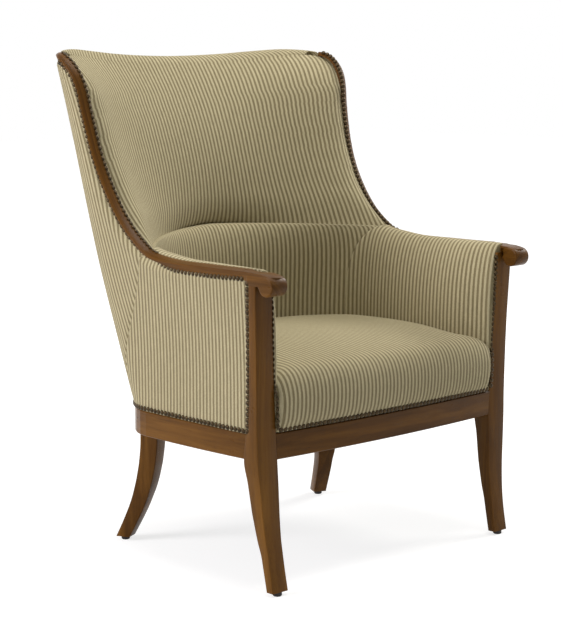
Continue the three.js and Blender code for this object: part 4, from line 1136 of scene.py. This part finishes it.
LEG_HEIGHTS = [.03, .19, .3, .4, .51, .61, .83, 1]
LEG_INNER = np.array([1, .75, .53, .34, .38, .4, .2, 0])
LEG_OUTER = np.array([1, 1, .97, .84, .68, .53, .24, 0])
LEG_KICK = np.array([1, .7, .53, .38, .26, .18, .09, 0])
LEG_DEPTH = np.array([0, .07, .16, .33, .45, .57, .8, 1])
LEG_INNER_DRAW, LEG_OUTER_DRAW, LEG_KICK_DRAW, FOOT_DEPTH = 3.8, 14.8, 25.5, 18
LEG_ROUND, REBATE_ROUND = 2.0, 1.5
REBATE_START = 262


def front_leg():
    leg_z = np.array(LEG_HEIGHTS) * FRAME_BOTTOM
    leg_z[0] = FOOT_HEIGHT
    post_z = lerp(FRAME_BOTTOM, POST_TOP, np.array(POST_HEIGHT_SHARES[1:]))
    leg_front = POST_FRONT - LEG_KICK * LEG_KICK_DRAW
    columns = [
        (POST_INNER - LEG_INNER * LEG_INNER_DRAW, post_inner_x(post_z)),
        (POST_OUTER - LEG_OUTER * LEG_OUTER_DRAW, post_outer_x(post_z)),
        (leg_front, post_front_y(post_z)),
        (leg_front + lerp(FOOT_DEPTH, POST_DEPTH, LEG_DEPTH), cover_front_y(post_z))]
    heights = np.concatenate([leg_z, post_z])
    z = np.linspace(FOOT_HEIGHT, POST_TOP, 110)
    x_low, x_high, y_low, y_high = [through(heights, np.concatenate(column), z) for column in columns]
    step = POST_BEHIND * smooth((z - REBATE_START) / (SHOW_TOP - REBATE_START))
    behind = np.where(z < SHOW_TOP, POST_FRONT + POST_DEPTH - step, cover_front_y(z))
    y_high = np.where(z > REBATE_START, behind, y_high)
    leg = [level_ring(*sizes, LEG_ROUND) for sizes in zip(x_low, x_high, y_low, y_high, z)]
    # Behind the rebate the post is narrower, under the side cover
    rebate = [level_ring(post_inner_x(z), post_outer_x(z) - 8, cover_front_y(z) - 3,
                         ARM_FRONT, z, REBATE_ROUND) for z in np.linspace(SHOW_TOP - 4, POST_TOP - 1, 12)]
    return joined([loft(leg), loft(rebate)])


# Rear leg: height, both kicks, width and depth as shares, from the foot to the frame

REAR_LEG = np.array([
    (.032, 1, 1, 0, 0), (.135, .79, .79, .08, .18), (.212, .64, .64, .15, .35), (.29, .5, .5, .24, .47),
    (.365, .38, .385, .35, .56), (.44, .28, .28, .68, .64), (.52, .19, .19, .82, .72),
    (.6, .12, .12, .9, .78), (.675, .065, .065, .96, .83), (.83, 0, 0, 1, .95), (1, 0, 0, 1, 1)])
REAR_X, REAR_Y, REAR_TURN = 257, 137, math.radians(26)
REAR_KICK_X, REAR_KICK_Y = 29, 59
REAR_WIDTH, REAR_DEPTH, REAR_FOOT_WIDTH, REAR_FOOT_DEPTH = 43, 39.5, 30, 31
REAR_TOP, REAR_TONGUE_TOP, REAR_TONGUE = 259.7, 325.7, 12


def rear_leg():
    across = np.array([math.cos(REAR_TURN), -math.sin(REAR_TURN), 0])
    out = np.array([math.sin(REAR_TURN), math.cos(REAR_TURN), 0])
    heights = REAR_LEG[:, 0] * FRAME_BOTTOM
    heights[0] = FOOT_HEIGHT
    zs = np.linspace(FOOT_HEIGHT, REAR_TOP, 60)
    kick_x, kick_y, width, depth = [through(heights, column, zs) for column in REAR_LEG.T[1:]]

    def ring(x, y, z, width, low, high):
        section = rounded_section(width / 2, (high - low) / 2, LEG_ROUND)
        return np.array([x, y, z]) + section[:, :1] * across + (section[:, 1:] + (low + high) / 2) * out

    half = lerp(REAR_FOOT_DEPTH, REAR_DEPTH, depth) / 2
    rings = [ring(REAR_X + kick_x[i] * REAR_KICK_X, REAR_Y + kick_y[i] * REAR_KICK_Y, z,
                  lerp(REAR_FOOT_WIDTH, REAR_WIDTH, width[i]), -half[i], half[i]) for i, z in enumerate(zs)]
    front = -REAR_DEPTH / 2
    for z in (REAR_TOP, REAR_TONGUE_TOP):
        rings.append(ring(REAR_X, REAR_Y, z, REAR_WIDTH, front, front + REAR_TONGUE))
    return loft(rings)


# Arm rail: the swept rail, the leaf-shaped lip and the cross roll under it

RAIL_ROUND, RAIL_CROWN = 3.2, .9
QUARTER = np.radians([25, 50, 72, 90])
LIP_BACK, LIP_LEAF, LIP_TIP, LIP_TAPER = -267.4, -300, -347.4, -330
LIP_INNER, LIP_INNER_LEAF, LIP_OUTER, LIP_OUTER_LEAF = 345.25, 329.6, 369.75, 369.2
LIP_BOTTOM, LIP_THIN, LIP_ROUND = 604.2, 5.2, 2.2
ROLL_Y, ROLL_Z, ROLL_RADIUS = -333.8, 599.1, 19.2
ROLL_BACK = [(-313, 597.2), (-309, 597.4), (-306.6, 597.5), (-290, 598.5), (-282, 604), (-282, 617),
             (-300, 618.4), (-318, 618.6)]
ROLL_EASES = [(329.2, 3.4), (329.4, 1.6), (330.4, .5), (331.8, 0), (349.4, -.15), (367.2, 0), (368.6, .5),
              (369.4, 1.6), (369.6, 3.4)]
ROLL_NARROW = 345.6


def swept_rail():
    shares = np.concatenate([np.linspace(0, .2, 20, endpoint=False), np.linspace(.2, 1, 150)])
    halves, lows = rail_width(shares) / 2, rail_depth(shares)
    place, across, deep = rail_frame(shares)
    rings = []
    for i, (half, low) in enumerate(zip(halves, lows)):
        flat = half - RAIL_ROUND
        corner = [(flat + RAIL_ROUND * math.cos(t), RAIL_ROUND - RAIL_ROUND * math.sin(t)) for t in QUARTER]
        section = [(-half, low), (-half, RAIL_ROUND)] + [(-x, y) for x, y in corner]
        section += [(x * flat, -RAIL_CROWN * (1 - x * x)) for x in np.linspace(-.8, .8, 7)]
        section = np.array(section + corner[::-1] + [(half, RAIL_ROUND), (half, low)])
        rings.append(place[i] + section[:, :1] * across[i] + section[:, 1:] * deep[i])
    # The tip closes with a rounded end
    end = rings[-1]
    centre = end.mean(axis=0)
    rings += [centre + (end - centre) * size + rail_along[-1] * push for size, push in ((.9, 1.2), (.6, 2.4))]
    return loft(rings)


def lip_ring(y):
    """Narrow as the rail behind, widening to a rounded leaf over the roll."""
    grow = smooth((-290 - y) / 22)
    inner = lerp(LIP_INNER, LIP_INNER_LEAF, grow)
    outer = lerp(LIP_OUTER, LIP_OUTER_LEAF, grow)
    taper = np.clip((LIP_TAPER - y) / 17.6, 0, 1) * .985
    half = (outer - inner) / 2 * (1 - rounding(taper))
    top = ARM_HEIGHT - 1.9 * smooth((-268 - y) / 26) - 1.2 * smooth((-292 - y) / 14)
    top = top - 6 * np.clip((-310 - y) / 38, 0, 1) ** 1.7
    bottom = lerp(LIP_BOTTOM, top - LIP_THIN, smooth((-306 - y) / 4))
    radius = min(LIP_ROUND, (top - bottom) * .42, half * .45)
    section = rounded_section(half, (top - bottom) / 2, radius, 4)
    crown = RAIL_CROWN * (1 - (section[:, 0] / max(half, 1)) ** 2)
    section[:, 1] += np.where(section[:, 1] > 0, crown, 0)
    # The arm's slight outward tilt dies out towards the knuckle
    tilt = ARM_TILT * (1 - smooth((-268 - y) / 26))
    below = section[:, 1] + bottom / 2 - top / 2
    x = section[:, 0] * math.cos(tilt) + below * math.sin(tilt)
    up = -section[:, 0] * math.sin(tilt) + below * math.cos(tilt)
    return stack((inner + outer) / 2 + x, y, top + up)


def knuckle_roll():
    """The roll's side outline carried across, its end edges eased."""
    outline = [(ROLL_Y + ROLL_RADIUS * math.cos(t), ROLL_Z + ROLL_RADIUS * math.sin(t))
               for t in np.linspace(math.pi * .5, math.pi * 1.9, 44)]
    outline = np.array(outline + ROLL_BACK)
    way = unit(outline - np.array([ROLL_Y + 4, ROLL_Z + 1]))
    rings = []
    for x, inset in ROLL_EASES:
        eased = outline - way * inset
        narrow = lerp(x, ROLL_NARROW, np.clip((eased[:, 0] + 312) / 12, 0, 1))
        rings.append(np.column_stack([np.where(x < 349, np.maximum(x, narrow), x), eased]))
    return loft(rings)


def arm_rail():
    neck = np.linspace(LIP_BACK, LIP_LEAF, 14, endpoint=False)
    leaf = np.linspace(LIP_LEAF, LIP_TIP, 26)
    lip = loft([lip_ring(y) for y in (*neck, *leaf)])
    return joined([swept_rail(), lip, knuckle_roll()])


def grain_places(points):
    """Places for the curved rail's grain: along it, then round it."""
    share = nearest_share(points)
    along = np.where(points[:, 1] < ARM_FRONT + 5.5, points[:, 1] - ARM_FRONT, share * RAIL_LENGTH)
    place, across_way, deep_way = rail_frame(share)
    across = np.sum((points - place) * across_way, -1)
    deep = np.sum((points - place) * deep_way, -1)
    return np.stack([along, across * 3 + deep * 2.3], -1)


for side, word in SIDES:
    for make, node, material in ((front_leg, "front_leg", WOOD_UP), (rear_leg, "rear_leg", WOOD_UP),
                                 (arm_rail, "arm_rail", WOOD_CURVE)):
        points, faces = make()
        places = grain_places(points) if make is arm_rail else None
        obj = mesh_object(node + "_show_" + word, mirrored(points) if side < 0 else points, faces, places)
        finish_piece(obj, material, 42, [node + "_" + word])


# Dust cover under the seat, tacked round its edge and slack between the tacks; metres in the frame

LINING_POINTS, LINING_RINGS = 144, 26
LINING_THICK, LINING_DROP, LINING_SAG, LINING_PUCKER = .0006, .0001, .006, .0009
LINING_TACKS = 36


def lining_outline():
    """The solid's top face: its height, its middle, and the reach of its points at each turn."""
    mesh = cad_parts["dust_cover"].data
    top = max(v.co.z for v in mesh.vertices)
    faces = [p for p in mesh.polygons if abs(p.normal.z) >= .5 and p.center.z >= top - .0005]
    points = [mesh.vertices[i].co for i in sorted({i for p in faces for i in p.vertices})]
    middle = sum(p.y for p in points) / len(points)
    # The face's inner point counts as well, which leaves a notch in the middle of the front
    polar = [(math.atan2(p.y - middle, p.x), math.hypot(p.x, p.y - middle)) for p in points]
    turns, reach = [list(column) for column in zip(*sorted(polar, key=lambda pair: pair[0]))]
    turns = [turns[-1] - math.tau] + turns + [turns[0] + math.tau]
    return top, middle, turns, [reach[-1]] + reach + [reach[0]]


def dust_cover():
    top, middle, turns, reach = lining_outline()
    points, faces = [], []
    sheet = LINING_RINGS * LINING_POINTS + 1
    for lift in (0.0, -LINING_THICK):
        level = top - LINING_DROP + lift
        for share in np.arange(LINING_RINGS, 0, -1) / LINING_RINGS:
            for k in range(LINING_POINTS):
                turn = -math.pi + (k + .5) / LINING_POINTS * math.tau
                radius = float(np.interp(turn, turns, reach)) * share
                slack = LINING_SAG * (1 - share ** 2)
                slack += abs(LINING_PUCKER * math.sin(turn * LINING_TACKS) * share ** 8)
                points.append((radius * math.cos(turn), middle + radius * math.sin(turn), level - slack))
        points.append((0, middle, level - LINING_SAG))
    for base in (0, sheet):
        faces += tube_faces(LINING_RINGS, LINING_POINTS, base)
        faces += fan_faces(base + sheet - 1 - LINING_POINTS, LINING_POINTS, base + sheet - 1)
    for k in range(LINING_POINTS):
        after = (k + 1) % LINING_POINTS
        faces.append((k, after, sheet + after, sheet + k))
    return mesh_object("dust_cover_cloth", np.array(points) / METRES_PER_MM - LAYOUT_SHIFT, faces)


dust = finish_piece(dust_cover(), LINING, 60, ["dust_cover"])


# Floor: the camera sees it pale, and it glows to white away from the chair

FLOOR_HALF = 14
GLOW_START, GLOW_END, GLOW_LOW, GLOW_HIGH = .7, 2.6, .74, 1.02


def floor_material():
    s = Shader("floor")
    s.set(colour=(.8, .8, .8), rough=.9, specular=.1)
    rays = s.node("LightPath").outputs
    seen = s.largest(rays["Is Glossy Ray"], rays["Is Transmission Ray"], rays["Is Camera Ray"])
    away = s.node("VectorMath", {0: s.space()}, operation="LENGTH").outputs["Value"]
    strength = s.remap(away, GLOW_START, GLOW_END, GLOW_LOW, GLOW_HIGH, "SMOOTHSTEP")
    pale = s.node("BsdfDiffuse", {"Color": (.42, .42, .42)}).outputs[0]
    glow = s.node("Emission", {"Color": (1, 1, 1), "Strength": strength}).outputs[0]
    bright = s.node("AddShader", {0: pale, 1: glow}).outputs[0]
    choice = s.node("MixShader", {0: seen, 1: s.surface.outputs[0], 2: bright}).outputs[0]
    s.put(s.out.inputs[0], choice)
    return s.material


corners = [(-FLOOR_HALF, -FLOOR_HALF, 0), (FLOOR_HALF, -FLOOR_HALF, 0), (FLOOR_HALF, FLOOR_HALF, 0),
           (-FLOOR_HALF, FLOOR_HALF, 0)]
floor_mesh = bpy.data.meshes.new("floor")
floor_mesh.from_pydata(corners, [], [(0, 1, 2, 3)])
floor = bpy.data.objects.new("floor", floor_mesh)
scene.collection.objects.link(floor)
floor.data.materials.append(floor_material())

# World: white where the camera looks past the chair, dim as a light

scene.world = bpy.data.worlds.new("studio")
scene.world.use_nodes = True
sky = Nodes(scene.world.node_tree)
rays = sky.node("LightPath").outputs
seen = sky.largest(rays["Is Camera Ray"], rays["Is Transmission Ray"], rays["Is Glossy Ray"])
dim = sky.node("Background", {0: (1, .99, .97), 1: .24}).outputs[0]
white = sky.node("Background", {0: (1, 1, 1), 1: 1.0}).outputs[0]
chosen = sky.node("MixShader", {0: seen, 1: dim, 2: white}).outputs[0]
sky.node("OutputWorld", {0: chosen})


def lamp(name, place, target, size, power, colour):
    data = bpy.data.lights.new(name, "AREA")
    data.shape = "DISK"
    data.size = size
    data.energy = power
    data.color = colour
    obj = bpy.data.objects.new(name, data)
    obj.location = place
    obj.rotation_euler = (Vector(target) - Vector(place)).to_track_quat("-Z", "Y").to_euler()
    scene.collection.objects.link(obj)


lamp("side", (-3.0, 1.1, 1.7), (0, 0, .55), 1.6, 86, (1, .97, .995))
lamp("right", (2.9, -.45, 2.7), (0, 0, .6), 1.5, 72, (1, .98, .93))
lamp("top", (-.1, -.3, 3.4), (0, 0, .4), 2.0, 66, (1, .985, .94))

scene.view_settings.view_transform = "Standard"
